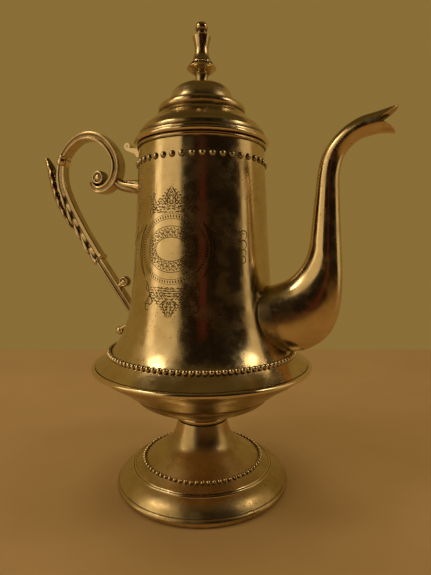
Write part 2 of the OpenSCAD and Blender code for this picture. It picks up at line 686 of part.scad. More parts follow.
module finial_tip() {
    z0 = tip_z - 9.6;
    outline = curve([[2.8, z0], [3, z0 + 1.8], [3.4, z0 + 3], [2.9, z0 + 4.2], [3.7, z0 + 5.6],
        [3.9, z0 + 7.2], [3.1, z0 + 8.8], [1.5, tip_z - 0.15], [0, tip_z]], 4);
    color(plate) rotate_extrude($fn = 64) polygon(concat([[0, z0]], outline));
}

screw_drop = 5.4;
module finial_screw() {
    color(steel)
        translate([0, 0, dome_top_z - screw_drop]) cylinder(r = screw_r, h = screw_drop + 6.6, $fn = 48);
}

module finial_washer() {
    color(steel)
        translate([0, 0, dome_top_z - wall - 0.9])
            difference() {
                cylinder(r = 4.4, h = 0.9, $fn = 48);
                translate([0, 0, -1]) cylinder(r = screw_r, h = 3, $fn = 48);
            }
}

module finial_nut() {
    color(steel)
        translate([0, 0, dome_top_z - wall - 3.5])
            difference() {
                cylinder(r = 3.6, h = 2.6, $fn = 6);
                translate([0, 0, -1]) cylinder(r = screw_r, h = 5, $fn = 48);
            }
}

foot_shell();
foot_rim();
foot_step_ring();
foot_beading();
stem_collar();
lower_bowl();
flange_rim();
body_shell();
skirt_beading();
shoulder_beading();
mouth_band();
spout();
handle_scroll();
handle_eye();
handle_arm();
handle_band();
handle_shaft();
handle_leaf();
handle_lower_bar();
handle_lower_scroll();
handle_tail();
handle_lower_pad();
hinge_body_leaf();
hinge_pin();
lid_shell();
lid_rim();
lid_bezel();
hinge_lid_leaf();
finial_base();
finial_beading();
finial_column();
finial_tip();
finial_screw();
finial_washer();
finial_nut();
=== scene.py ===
"""A Victorian pedestal coffee pot in aged silver plate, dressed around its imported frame.

Sizes are in millimetres and are turned into metres where a mesh is made. +Z is up, +X points to the
spout, and the origin is the centre of the foot on the table.
"""

import logging
import math
from dataclasses import dataclass, field
from enum import Enum

import bmesh
import bpy
import numpy as np
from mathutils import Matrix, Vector
from numpy.typing import NDArray


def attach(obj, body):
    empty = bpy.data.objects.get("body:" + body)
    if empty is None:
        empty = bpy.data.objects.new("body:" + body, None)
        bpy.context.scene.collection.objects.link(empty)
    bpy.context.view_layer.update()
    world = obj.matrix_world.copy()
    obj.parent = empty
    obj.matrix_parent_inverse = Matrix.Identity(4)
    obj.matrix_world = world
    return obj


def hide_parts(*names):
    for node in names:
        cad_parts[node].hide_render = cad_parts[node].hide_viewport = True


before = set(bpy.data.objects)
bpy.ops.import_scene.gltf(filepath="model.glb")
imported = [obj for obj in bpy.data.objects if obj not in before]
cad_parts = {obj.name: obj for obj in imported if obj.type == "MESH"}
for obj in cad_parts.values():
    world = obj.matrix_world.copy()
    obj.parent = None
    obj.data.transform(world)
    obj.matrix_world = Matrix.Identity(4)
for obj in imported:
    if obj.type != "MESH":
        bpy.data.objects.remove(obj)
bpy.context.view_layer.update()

log = logging.getLogger("coffee_pot")
Array = NDArray[np.float64]
MM = 0.001
FULL_TURN = 2 * math.pi
SHARP_ANGLE = math.radians(38)
WELD_DISTANCE = 2e-7
SHORTEST_EDGE = 1e-7
NEARLY_ZERO = 1e-9
FINE_SEGMENTS = 192
LID_SEGMENTS = 176
HOLLOW = "hollow"


class Body(str, Enum):
    """The bodies that pieces ride on."""

    POT = "pot"
    LID = "lid"


class Slot(str, Enum):
    """The finish slots."""

    SHEET = "sheet_plate"
    BRIGHT = "bright_trim"
    CAST = "cast_plate"
    TURNED = "turned_plate"
    STEEL = "pin_steel"


# ---------- curves and surfaces ----------


def curve(points: Array, steps: int) -> Array:
    """Carries a smooth curve through every point.

    Each stretch between b and c, with neighbours a and d, is the cubic
    (2b + (c-a)t + (2a-5b+4c-d)t^2 + (3b-a-3c+d)t^3) / 2 for t from 0 to 1.

    Args:
        points: the points, one to a row.
        steps: how many steps each stretch is cut into.

    Returns:
        The points of the curve, one to a row.
    """
    p = np.asarray(points, float)
    a, b = np.vstack([p[:1], p[:-2]]), p[:-1]
    c, d = p[1:], np.vstack([p[2:], p[-1:]])
    t = (np.arange(steps) / steps)[None, :, None]
    a, b, c, d = (q[:, None, :] for q in (a, b, c, d))
    q = 0.5 * (2 * b + (c - a) * t + (2 * a - 5 * b + 4 * c - d) * t**2 + (3 * b - a - 3 * c + d) * t**3)
    return np.vstack([q.reshape(-1, p.shape[1]), p[-1:]])


def closed_curve(points: Array, steps: int) -> Array:
    """Carries the same cubic as curve() round a closed ring of points, and leaves out the repeated end."""
    p = np.asarray(points, float)
    long = curve(np.vstack([p[-2:], p, p[:2]]), steps)
    return long[2 * steps : (len(p) + 2) * steps]


def softened(profile: Array, reach: float, steps: int = 3) -> Array:
    """Rounds every corner of a profile.

    Each corner p becomes the arc (1-t)^2 a + 2t(1-t) p + t^2 b, where a and b lie the reach, or 0.42 of
    the side if that is less, before and after p.

    Args:
        profile: the corners, one to a row.
        reach: how far from a corner its rounding starts.
        steps: how many steps each arc has.

    Returns:
        The rounded profile, one point to a row.
    """
    p = np.asarray(profile, float)
    side = np.diff(p, axis=0)
    length = np.maximum(np.linalg.norm(side, axis=1, keepdims=True), NEARLY_ZERO)
    step = side / length * np.minimum(reach, 0.42 * length)
    a, mid, b = p[1:-1] - step[:-1], p[1:-1], p[1:-1] + step[1:]
    t = (np.arange(steps + 1) / steps)[None, :, None]
    arcs = (1 - t) ** 2 * a[:, None] + 2 * t * (1 - t) * mid[:, None] + t**2 * b[:, None]
    return np.vstack([p[:1], arcs.reshape(-1, p.shape[1]), p[-1:]])


def tangents(path: Array) -> Array:
    """Gives the unit direction of a path at each point, from its two neighbours."""
    t = np.gradient(path, axis=0)
    return t / np.maximum(np.linalg.norm(t, axis=1, keepdims=True), 1e-12)


def moved(path: Array, distance: float | Array) -> Array:
    """Moves a plane path to its left by a distance."""
    t = tangents(path)
    return path + np.reshape(distance, (-1, 1)) * np.stack([-t[:, 1], t[:, 0]], 1)


def mix(a: float | Array, b: float | Array, t: float | Array) -> float | Array:
    """Goes from a to b by the share t."""
    return a + (b - a) * t


def eased(t: Array) -> Array:
    """Rises from 0 to 1 with level ends: 3t^2 - 2t^3, held at 0 before and 1 after."""
    t = np.clip(t, 0, 1)
    return t * t * (3 - 2 * t)


def along_values(values: list[float], n: int) -> Array:
    """Spreads a few values evenly along n points, joined by a smooth curve."""
    if len(values) == 1:
        return np.full(n, values[0])
    c = curve(np.stack([np.arange(len(values)), values], 1), 12)
    return np.interp(np.linspace(0, len(values) - 1, n), c[:, 0], c[:, 1])


def grid_faces(n: int, m: int, wrap_n: bool, wrap_m: bool) -> NDArray[np.int64]:
    """Numbers the four-sided faces of a grid of n rings with m points each.

    Args:
        n: rings.
        m: points in a ring.
        wrap_n: whether the last ring joins the first.
        wrap_m: whether each ring is closed.

    Returns:
        Four vertex numbers to a row, turning left seen from outside when rings run up and points run
        anticlockwise seen from above.
    """
    i, j = np.meshgrid(np.arange(n if wrap_n else n - 1), np.arange(m if wrap_m else m - 1), indexing="ij")
    i2, j2 = (i + 1) % n, (j + 1) % m
    return np.stack([i * m + j, i * m + j2, i2 * m + j2, i2 * m + j], -1).reshape(-1, 4)


def mesh_object(name: str, points: Array, faces: list, hollow: Array | None = None) -> bpy.types.Object:
    """Makes an object from points in millimetres, with its poles and seams closed by welding.

    Args:
        name: the object's name.
        points: one point to a row.
        faces: lists of vertex numbers.
        hollow: how deep in a hollow each point lies, from 0 to 1; kept as an attribute for the finish.

    Returns:
        The object, smooth shaded with its sharp edges marked, linked to the scene.
    """
    mesh = bpy.data.meshes.new(name)
    mesh.from_pydata((np.asarray(points) * MM).tolist(), [], [list(f) for f in faces])
    attribute = mesh.attributes.new(HOLLOW, "FLOAT", "POINT")
    depth = np.zeros(len(points)) if hollow is None else np.asarray(hollow, float).ravel()
    attribute.data.foreach_set("value", depth)
    bm = bmesh.new()
    bm.from_mesh(mesh)
    bmesh.ops.remove_doubles(bm, verts=bm.verts, dist=WELD_DISTANCE)
    bmesh.ops.dissolve_degenerate(bm, edges=bm.edges, dist=SHORTEST_EDGE)
    bm.to_mesh(mesh)
    bm.free()
    mesh.polygons.foreach_set("use_smooth", np.ones(len(mesh.polygons), bool))
    mesh.set_sharp_from_angle(angle=SHARP_ANGLE)
    mesh.update()
    piece = bpy.data.objects.new(name, mesh)
    bpy.context.scene.collection.objects.link(piece)
    return piece


def crease_depth(profile: Array, closed: bool, width: float = 1.2) -> Array:
    """Measures how far a profile turns inwards near each point.

    The turn at a point is the cross product of its two sides' directions. Right-hand turns of a profile
    that runs upwards with metal on its left are hollows, and they are spread over the width as
    exp(-(distance/width)^2).

    Args:
        profile: radius and height, one point to a row.
        closed: whether the last point joins the first.
        width: how far the darkening in a corner spreads.

    Returns:
        A share from 0 to 1 for each point.
    """
    before = profile - np.roll(profile, 1, 0)
    after = np.roll(profile, -1, 0) - profile
    unit_b = before / np.maximum(np.linalg.norm(before, axis=1, keepdims=True), NEARLY_ZERO)
    unit_a = after / np.maximum(np.linalg.norm(after, axis=1, keepdims=True), NEARLY_ZERO)
    turn = np.clip(-(unit_b[:, 0] * unit_a[:, 1] - unit_b[:, 1] * unit_a[:, 0]), 0, 1)
    if not closed:
        turn[[0, -1]] = 0
    gap = np.linalg.norm(profile[:, None] - profile[None], axis=2)
    return np.clip((turn[None] * np.exp(-((gap / width) ** 2))).sum(1) * 1.1, 0, 1)


def lathe(name: str, profile: Array, closed: bool = False, segments: int = 160) -> bpy.types.Object:
    """Turns a profile about the pot's axis: (r cos a, r sin a, z) for a round the full turn.

    Args:
        name: the object's name.
        profile: radius and height in millimetres, with the metal on its left.
        closed: whether the profile is a closed ring.
        segments: steps round the turn.

    Returns:
        The turned object.
    """
    p = np.asarray(profile, float)
    a = np.arange(segments) * FULL_TURN / segments
    points = np.stack([p[:, :1] * np.cos(a), p[:, :1] * np.sin(a), np.repeat(p[:, 1:], segments, 1)], -1)
    hollow = np.repeat(crease_depth(p, closed)[:, None], segments, 1)
    return mesh_object(name, points.reshape(-1, 3), grid_faces(len(p), segments, closed, True), hollow)


def shell_profile(outline: Array, thick: float) -> Array:
    """Closes an outline into a sheet of metal whose inner face lies to the outline's left."""
    return np.vstack([outline, moved(outline, thick)[::-1]])


def sweep(name: str, path: Array, section: Array, thick: Array, broad: Array,
          relief: Array | None = None, hollow: Array | None = None) -> bpy.types.Object:
    """Carries a section along a path in the XZ plane.

    The point of section (s, b) at path point p, whose left is n, is p + n s thick in the plane and
    b broad across it. Both ends are closed by a fan that bulges a little.

    Args:
        name: the object's name.
        path: x and z, one point to a row.
        section: shares of thickness and breadth, one point to a row, anticlockwise.
        thick: thickness at each path point.
        broad: breadth at each path point.
        relief: how far each grid point is pushed out from the path, path points by section points.
        hollow: the hollow share of each grid point, in the same shape.

    Returns:
        The swept object.
    """
    t = tangents(path)
    side = np.stack([-t[:, 1], t[:, 0]], 1)
    push = section / np.maximum(np.linalg.norm(section, axis=1, keepdims=True), NEARLY_ZERO)
    extra = np.zeros((len(path), len(section))) if relief is None else relief
    s = section[None, :, 0] * thick[:, None] + push[None, :, 0] * extra
    b = section[None, :, 1] * broad[:, None] + push[None, :, 1] * extra
    plane = path[:, None] + side[:, None] * s[..., None]
    rings = np.stack([plane[..., 0], b, plane[..., 1]], -1)
    n, m = rings.shape[:2]
    ends = []
    for ring, way in ((rings[0], -t[0]), (rings[-1], t[-1])):
        middle = ring.mean(0)
        size = np.linalg.norm(ring - middle, axis=1).max()
        bulge = np.array([way[0], 0, way[1]]) * 0.06 * size
        ends.append([middle + (ring - middle) * 0.8 + bulge * 0.7, np.repeat((middle + bulge)[None], m, 0)])
    full = np.concatenate([[ends[0][1]], [ends[0][0]], rings, [ends[1][0]], [ends[1][1]]])
    depth = np.zeros((n, m)) if hollow is None else hollow
    depth = np.concatenate([depth[:1], depth[:1], depth, depth[-1:], depth[-1:]])
    return mesh_object(name, full.reshape(-1, 3), grid_faces(n + 4, m, False, True), depth)


def button(name: str, centre: tuple[float, float], half: float, profile: Array,
           segments: int = 40) -> bpy.types.Object:
    """Turns a profile about a line through a point of the XZ plane, along Y, and mirrors it.

    Args:
        name: the object's name.
        centre: x and z of the line.
        half: half the breadth, where the profile's depth 0 lies.
        profile: radius and depth below the outer face, from the middle outwards.
        segments: steps round the turn.

    Returns:
        The object, the same on both faces.
    """
    p = np.asarray(profile, float)
    near = np.stack([p[:, 0], -(half - p[:, 1])], 1)
    both = np.vstack([near, near[::-1] * [1, -1]])
    a = -np.arange(segments) * FULL_TURN / segments
    points = np.stack([centre[0] + both[:, :1] * np.cos(a), np.repeat(both[:, 1:], segments, 1),
                       centre[1] + both[:, :1] * np.sin(a)], -1)
    depth = np.concatenate([p[:, 1], p[::-1, 1]]) / max(p[:, 1].max(), 1e-6)
    hollow = np.repeat(depth[:, None] * 0.8, segments, 1)
    return mesh_object(name, points.reshape(-1, 3), grid_faces(len(both), segments, False, True), hollow)


def joined(name: str, pieces: list[bpy.types.Object]) -> bpy.types.Object:
    """Joins pieces into one object under a new name."""
    bm = bmesh.new()
    for piece in pieces:
        bm.from_mesh(piece.data)
    mesh = bpy.data.meshes.new(name)
    bm.to_mesh(mesh)
    bm.free()
    for piece in pieces:
        bpy.data.objects.remove(piece)
    result = bpy.data.objects.new(name, mesh)
    bpy.context.scene.collection.objects.link(result)
    return result


# ---------- finishes ----------


def node_group(name: str, inputs: dict[str, float], outputs: dict[str, str]) -> tuple:
    """Starts a shader node group.

    Args:
        name: the group's name.
        inputs: its number inputs and their defaults.
        outputs: its outputs, each with its kind of socket.

    Returns:
        The group, its input node, its output node and a function that adds a node to it.
    """
    group = bpy.data.node_groups.new(name, "ShaderNodeTree")
    for key, value in inputs.items():
        socket = group.interface.new_socket(key, in_out="INPUT", socket_type="NodeSocketFloat")
        socket.default_value = value
    for key, kind in outputs.items():
        group.interface.new_socket(key, in_out="OUTPUT", socket_type=kind)
    entry, leave = group.nodes.new("NodeGroupInput"), group.nodes.new("NodeGroupOutput")
    return group, entry, leave, NodeMaker(group)


class NodeMaker:
    """Adds nodes to a tree, with their settings and what feeds them."""

    def __init__(self, tree: bpy.types.NodeTree) -> None:
        """Keeps the tree that nodes are added to."""
        self.tree = tree

    def __call__(self, kind: str, inputs: dict | None = None, **settings) -> bpy.types.Node:
        """Adds a node.

        Args:
            kind: the node's type.
            inputs: values, or sockets to link from, for each input by name or number.
            settings: the node's own settings.

        Returns:
            The node.
        """
        node = self.tree.nodes.new(kind)
        for key, value in settings.items():
            setattr(node, key, value)
        for key, value in (inputs or {}).items():
            if isinstance(value, bpy.types.NodeSocket):
                self.tree.links.new(value, node.inputs[key])
            else:
                node.inputs[key].default_value = value
        return node

    def math(self, operation: str, a: object, b: object = 0.0, clamp: bool = False) -> bpy.types.NodeSocket:
        """Adds a Math node and gives its result."""
        return self("ShaderNodeMath", {0: a, 1: b}, operation=operation, use_clamp=clamp).outputs[0]

    def ramp(self, value: object, low: float, high: float, to_low: float = 0.0,
             to_high: float = 1.0) -> bpy.types.NodeSocket:
        """Maps a value from one range to another, smoothly and held at the ends."""
        ends = {"From Min": low, "From Max": high, "To Min": to_low, "To Max": to_high}
        node = self("ShaderNodeMapRange", {"Value": value, **ends}, interpolation_type="SMOOTHSTEP")
        return node.outputs[0]

    def noise(self, vector: object, scale: object, detail: float,
              roughness: float = 0.55) -> bpy.types.NodeSocket:
        """Adds a Noise Texture and gives its value."""
        fractal = {"Scale": scale, "Detail": detail, "Roughness": roughness}
        return self("ShaderNodeTexNoise", {"Vector": vector, **fractal}).outputs[0]


def build_tarnish_group() -> bpy.types.NodeTree:
    """Builds the tarnish effect: cloudy patches and small dark specks, and a darkening of the hollows.

    Returns:
        A group that puts out a Cloud mask, a Speck mask and a mask that darkens the hollows.
    """
    group, entry, leave, add = node_group(
        "tarnish", {"Cloud Scale": 30.0, "Speck Scale": 420.0, "Speck Share": 0.1, "Hollow Darkening": 0.8},
        {"Cloud": "NodeSocketFloat", "Speck": "NodeSocketFloat", "Hollow Darkening": "NodeSocketFloat"})
    place = add("ShaderNodeTexCoord").outputs["Object"]
    cloud = add.noise(place, entry.outputs["Cloud Scale"], 5.0, 0.62)
    fine = add.noise(place, add.math("MULTIPLY", entry.outputs["Cloud Scale"], 6.5), 3.0)
    soft = add.math("ADD", add.math("MULTIPLY", cloud, 0.75), add.math("MULTIPLY", fine, 0.25))
    group.links.new(add.ramp(soft, 0.38, 0.66), leave.inputs["Cloud"])
    cells = add("ShaderNodeTexVoronoi", {"Vector": place, "Scale": entry.outputs["Speck Scale"],
                                         "Randomness": 1.0})
    chance = add("ShaderNodeSeparateColor", {0: cells.outputs["Color"]}).outputs[0]
    grouped = add.math("ADD", chance, add.math("MULTIPLY", add.math("SUBTRACT", 0.55, cloud), 1.2))
    wanted = add.math("LESS_THAN", grouped, entry.outputs["Speck Share"])
    dot = add.ramp(cells.outputs["Distance"], 0.42, 0.18)
    group.links.new(add.math("MULTIPLY", dot, wanted), leave.inputs["Speck"])
    # darker where the hollow attribute is high: profile corners, grooves, bead bases and the spout's inside
    deep = add("ShaderNodeAttribute", attribute_name=HOLLOW).outputs["Fac"]
    mottled_hollow = add.math("MULTIPLY", deep, add.ramp(fine, 0.2, 0.6, 0.65, 1.0))
    group.links.new(add.math("MULTIPLY", mottled_hollow, entry.outputs["Hollow Darkening"], clamp=True), leave.inputs["Hollow Darkening"])
    return group


def build_wear_group() -> bpy.types.NodeTree:
    """Builds the wear effect: fine polishing scratches in several directions and shallow dents.

    Returns:
        A group that puts out a Height for bump and a Haze mask for roughness.
    """
    group, entry, leave, add = node_group(
        "polish_wear", {"Scratch Scale": 300.0, "Dent Scale": 45.0, "Dent": 0.5},
        {"Height": "NodeSocketFloat", "Haze": "NodeSocketFloat"})
    place = add("ShaderNodeTexCoord").outputs["Object"]
    total = None
    for turn, stretch in (((0.3, 0.2, 0.0), (1.0, 1.0, 0.03)), ((0.0, 0.4, 1.1), (0.04, 1.0, 1.0))):
        laid = add("ShaderNodeMapping", {"Vector": place, "Rotation": turn, "Scale": stretch})
        hair = add.ramp(add.noise(laid.outputs[0], entry.outputs["Scratch Scale"], 3.0, 0.7), 0.55, 0.75)
        total = hair if total is None else add.math("ADD", total, hair)
    dents = add.noise(place, entry.outputs["Dent Scale"], 2.0, 0.4)
    sunk = add.math("MULTIPLY", total, -0.06)
    height = add.math("ADD", sunk, add.math("MULTIPLY", dents, entry.outputs["Dent"]))
    group.links.new(height, leave.inputs["Height"])
    haze = add.noise(place, add.math("MULTIPLY", entry.outputs["Dent Scale"], 2.2), 4.0, 0.6)
    both = add.math("ADD", add.ramp(haze, 0.35, 0.7), add.math("MULTIPLY", total, 0.25), clamp=True)
    group.links.new(both, leave.inputs["Haze"])
    return group


@dataclass(frozen=True)
class MetalFinish:
    """A polished and aged metal surface.

    Attributes:
        name: the material's name.
        bright: the colour of clean metal.
        clouded: the colour under a thin tarnish.
        dark: the colour of specks and of the darkened hollows.
        cloud: how much the tarnish shows, from 0 to 1.
        speck_share: how many cells hold a speck.
        speck_scale: cells to a metre.
        hollow_darkening: how dark the hollows are.
        smooth: roughness of clean metal.
        hazy: roughness under haze.
        dent: how deep the shallow dents are, in the bump's units.
        bump: strength of the bump.
        cloud_scale: size of the clouds, as a noise scale.
    """

    name: str
    bright: tuple[float, float, float]
    clouded: tuple[float, float, float]
    dark: tuple[float, float, float] = (0.05, 0.032, 0.014)
    cloud: float = 0.7
    speck_share: float = 0.1
    speck_scale: float = 1000.0
    hollow_darkening: float = 0.85
    smooth: float = 0.15
    hazy: float = 0.27
    dent: float = 0.5
    bump: float = 0.12
    cloud_scale: float = 30.0

    def build(self, tarnish: bpy.types.NodeTree, wear: bpy.types.NodeTree) -> bpy.types.Material:
        """Builds the material.

        Args:
            tarnish: the tarnish group.
            wear: the wear group.

        Returns:
            The material.
        """
        material = bpy.data.materials.new(self.name)
        material.use_nodes = True
        tree = material.node_tree
        tree.nodes.clear()
        add = NodeMaker(tree)
        spots = add("ShaderNodeGroup", node_tree=tarnish)
        rubbed = add("ShaderNodeGroup", node_tree=wear)
        for key, value in (("Cloud Scale", self.cloud_scale), ("Speck Scale", self.speck_scale),
                           ("Speck Share", self.speck_share), ("Hollow Darkening", self.hollow_darkening)):
            spots.inputs[key].default_value = value
        rubbed.inputs["Dent"].default_value = self.dent
        clouds = add.math("MULTIPLY", spots.outputs["Cloud"], self.cloud)
        colour = self.mixed(add, clouds, (*self.bright, 1), (*self.clouded, 1))
        colour = self.mixed(add, add.math("MULTIPLY", spots.outputs["Speck"], 0.8), colour, (*self.dark, 1))
        # darkens the hollows towards the dark colour
        colour = self.mixed(add, spots.outputs["Hollow Darkening"], colour, (*self.dark, 1))
        rough = add.ramp(rubbed.outputs["Haze"], 0.0, 1.0, self.smooth, self.hazy)
        rough = add.math("ADD", rough, add.math("MULTIPLY", spots.outputs["Hollow Darkening"], 0.25))
        rough = add.math("ADD", rough, add.math("MULTIPLY", spots.outputs["Speck"], 0.2), clamp=True)
        bump = add("ShaderNodeBump", {"Height": rubbed.outputs["Height"], "Strength": self.bump,
                                      "Distance": MM})
        shader = add("ShaderNodeBsdfPrincipled", {"Base Color": colour, "Metallic": 1.0, "Roughness": rough,
                                                  "Normal": bump.outputs[0]})
        end = add("ShaderNodeOutputMaterial")
        tree.links.new(shader.outputs[0], end.inputs[0])
        return material

    @staticmethod
    def mixed(add: NodeMaker, share: object, a: object, b: object) -> bpy.types.NodeSocket:
        """Mixes two colours by a share."""
        node = add("ShaderNodeMix", data_type="RGBA")
        for socket, value in ((node.inputs[0], share), (node.inputs[6], a), (node.inputs[7], b)):
            if isinstance(value, bpy.types.NodeSocket):
                add.tree.links.new(value, socket)
            else:
                socket.default_value = value
        return node.outputs[2]


class Finishes:
    """The pot's finishes, built once and handed to the pieces."""

    SHEET = MetalFinish("aged_silver_plate_sheet", (0.80, 0.66, 0.42), (0.62, 0.47, 0.25), cloud=0.75,
                        speck_share=0.05, smooth=0.16, hazy=0.27)
    SATIN = MetalFinish("rubbed_satin_plate", (0.66, 0.53, 0.31), (0.46, 0.34, 0.16), cloud=0.85,
                        speck_share=0.03, smooth=0.27, hazy=0.38)
    BRIGHT = MetalFinish("worn_bright_plate", (0.88, 0.76, 0.53), (0.72, 0.57, 0.33), cloud=0.5,
                         speck_share=0.03, smooth=0.11, hazy=0.2, hollow_darkening=1.0)
    CAST = MetalFinish("cast_and_chased_plate", (0.64, 0.52, 0.32), (0.36, 0.26, 0.13), cloud=0.85,
                       speck_share=0.02, smooth=0.16, hazy=0.27, hollow_darkening=0.8, dent=0.6, bump=0.15)
    TURNED = MetalFinish("turned_plate", (0.78, 0.63, 0.40), (0.58, 0.44, 0.24), cloud=0.7,
                         speck_share=0.06, smooth=0.15, hazy=0.26, hollow_darkening=0.9)
    ENGRAVED = MetalFinish("engraved_line_tarnish", (0.13, 0.085, 0.035), (0.07, 0.045, 0.02), cloud=0.8,
                           speck_share=0.0, smooth=0.4, hazy=0.55)
    STEEL = MetalFinish("plain_pin_steel", (0.52, 0.50, 0.47), (0.34, 0.31, 0.27), cloud=0.6,
                        speck_share=0.04, smooth=0.25, hazy=0.4, bump=0.25)

    def __init__(self) -> None:
        """Builds the two shared groups and every material."""
        tarnish, wear = build_tarnish_group(), build_wear_group()
        finishes = (self.SHEET, self.SATIN, self.BRIGHT, self.CAST, self.TURNED, self.ENGRAVED, self.STEEL)
        self.made = {finish.name: finish.build(tarnish, wear) for finish in finishes}

    def dress(self, piece: bpy.types.Object, finish: MetalFinish) -> None:
        """Gives a piece one finish all over."""
        piece.data.materials.clear()
        piece.data.materials.append(self.made[finish.name])


SLOT_FINISH = {Slot.SHEET: Finishes.SHEET, Slot.BRIGHT: Finishes.BRIGHT, Slot.CAST: Finishes.CAST,
               Slot.TURNED: Finishes.TURNED, Slot.STEEL: Finishes.STEEL}


@dataclass
class SubAssembly:
    """What every sub-assembly shares: its finishes, its body, and how a piece is placed on it."""

    finishes: Finishes
    body: Body = Body.POT

    def place(self, piece: bpy.types.Object, slot: Slot, *nodes: str,
              finish: MetalFinish | None = None) -> None:
        """Dresses a piece, seats it on its body and hides the frame nodes that it stands for.

        Args:
            piece: the piece.
            slot: its finish slot.
            nodes: the frame nodes that it replaces.
            finish: a finish other than the slot's own.
        """
        self.finishes.dress(piece, finish or SLOT_FINISH[slot])
        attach(piece, self.body.value)
        if nodes:
            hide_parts(*nodes)
        log.info("%s: %d faces, rides on %s", piece.name, len(piece.data.polygons), self.body.value)

    def keep(self, *nodes: str, slot: Slot) -> None:
        """Gives frame nodes that stay in view a finish of their own."""
        for name in nodes:
            self.finishes.dress(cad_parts[name], SLOT_FINISH[slot])
            log.info("%s: kept from the frame", name)


# ---------- sizes that several sub-assemblies share ----------


@dataclass(frozen=True)
class PotSizes:
    """Sizes that line the sub-assemblies up with each other, in millimetres."""

    foot_r: float = 55.4
    foot_rim_h: float = 5.2
    foot_step_r: float = 44.6
    foot_step_z: float = 12.9
    stem_r: float = 15.9
    stem_top_z: float = 40.8
    bowl_z: float = 45.4
    bowl_step_r: float = 44.6
    step_z: float = 60.4
    flange_r: float = 69.8
    flange_z: float = 78.2
    flange_wire_d: float = 3.0
    sheet_edge_z: float = 79.7
    mouth_r: float = 38.8
    mouth_z: float = 214.2
    taper: float = 0.05
    flare_len: float = 14.8
    wall: float = 1.0
    band_h: float = 2.6
    band_proud: float = 1.3
    lid_r: float = 41.9
    lid_z: float = 214.4
    rim_top_z: float = 216.8
    roll_z: float = 239.6
    dome_top_z: float = 251.7
    tip_z: float = 289.1

    @property
    def flare_start(self) -> float:
        """How far the skirt's edge stands out past the body's plain taper."""
        return self.flange_r - 2.6 - self.mouth_r - self.taper * (self.mouth_z - self.sheet_edge_z)

    def body_r(self, z: float | Array) -> float | Array:
        """Gives the body's radius at a height: an even taper, plus a skirt that falls off exponentially."""
        flare = np.exp(-(np.asarray(z, float) - self.sheet_edge_z) / self.flare_len)
        return self.mouth_r + self.taper * (self.mouth_z - z) + self.flare_start * flare

    def body_slope(self, z: float) -> float:
        """Gives how fast the body's radius grows downwards at a height."""
        steepest = self.flare_start / self.flare_len
        return self.taper + steepest * math.exp(-(z - self.sheet_edge_z) / self.flare_len)


POT = PotSizes()


def bead_row(name: str, size: float, gap: float, ring_r: float, z: float, out: tuple[float, float],
             proud: float = 0.16, sides: int = 14, rows: int = 8) -> bpy.types.Object:
    """Sets a row of beads round the pot's axis.

    A bead is the sphere (d/2)(sin v cos u, sin v sin u, cos v), set out along the way its ground faces by a
    share of d, and pressed flat where it would go under the ground.

    Args:
        name: the object's name.
        size: diameter of a bead.
        gap: clear distance between beads.
        ring_r: radius of the ring on the ground.
        z: height of the ground there.
        out: the way the ground faces, as a radial and an upward part.
        proud: share of d by which a bead's middle stands over the ground.
        sides: steps round a bead.
        rows: steps from a bead's pole to its base.

    Returns:
        The row as one object.
    """
    count = round(FULL_TURN * ring_r / (size + gap))
    u = (np.arange(sides) * FULL_TURN / sides)[None, :]
    v = np.linspace(0, math.pi, rows + 1)[:, None]
    height = np.maximum(proud * size + size / 2 * np.cos(v), 0) + 0 * u
    across, tangent = size / 2 * np.sin(v) * np.cos(u), size / 2 * np.sin(v) * np.sin(u)
    length = math.hypot(*out)
    o_r, o_z = out[0] / length, out[1] / length
    radial = ring_r + height * o_r - across * o_z
    up = z + height * o_z + across * o_r
    turn = (np.arange(count) * FULL_TURN / count)[:, None, None]
    points = np.stack([radial * np.cos(turn) - tangent * np.sin(turn),
                       radial * np.sin(turn) + tangent * np.cos(turn), up + 0 * turn], -1)
    one = grid_faces(rows + 1, sides, False, True)[:, ::-1]
    faces = (one[None] + (np.arange(count) * (rows + 1) * sides)[:, None, None]).reshape(-1, 4)
    low = np.clip(1 - height / (0.45 * size), 0, 1) ** 0.8
    hollow = np.repeat(low[None], count, 0)
    return mesh_object(name, points.reshape(-1, 3), faces, hollow)


def rounded_ring(r_in: float, r_out: float, z0: float, z1: float) -> Array:
    """Makes a closed ring profile with one side that is half an ellipse from z0 to z1."""
    bulge = min((z1 - z0) / 2, r_out - r_in)
    a = np.radians(np.arange(-90, 91, 7.5))
    arc = np.stack([r_out - bulge + bulge * np.cos(a), (z0 + z1) / 2 + (z1 - z0) / 2 * np.sin(a)], 1)
    return np.vstack([[[r_in, z0]], arc, [[r_in, z1]]])


# ---------- foot ----------


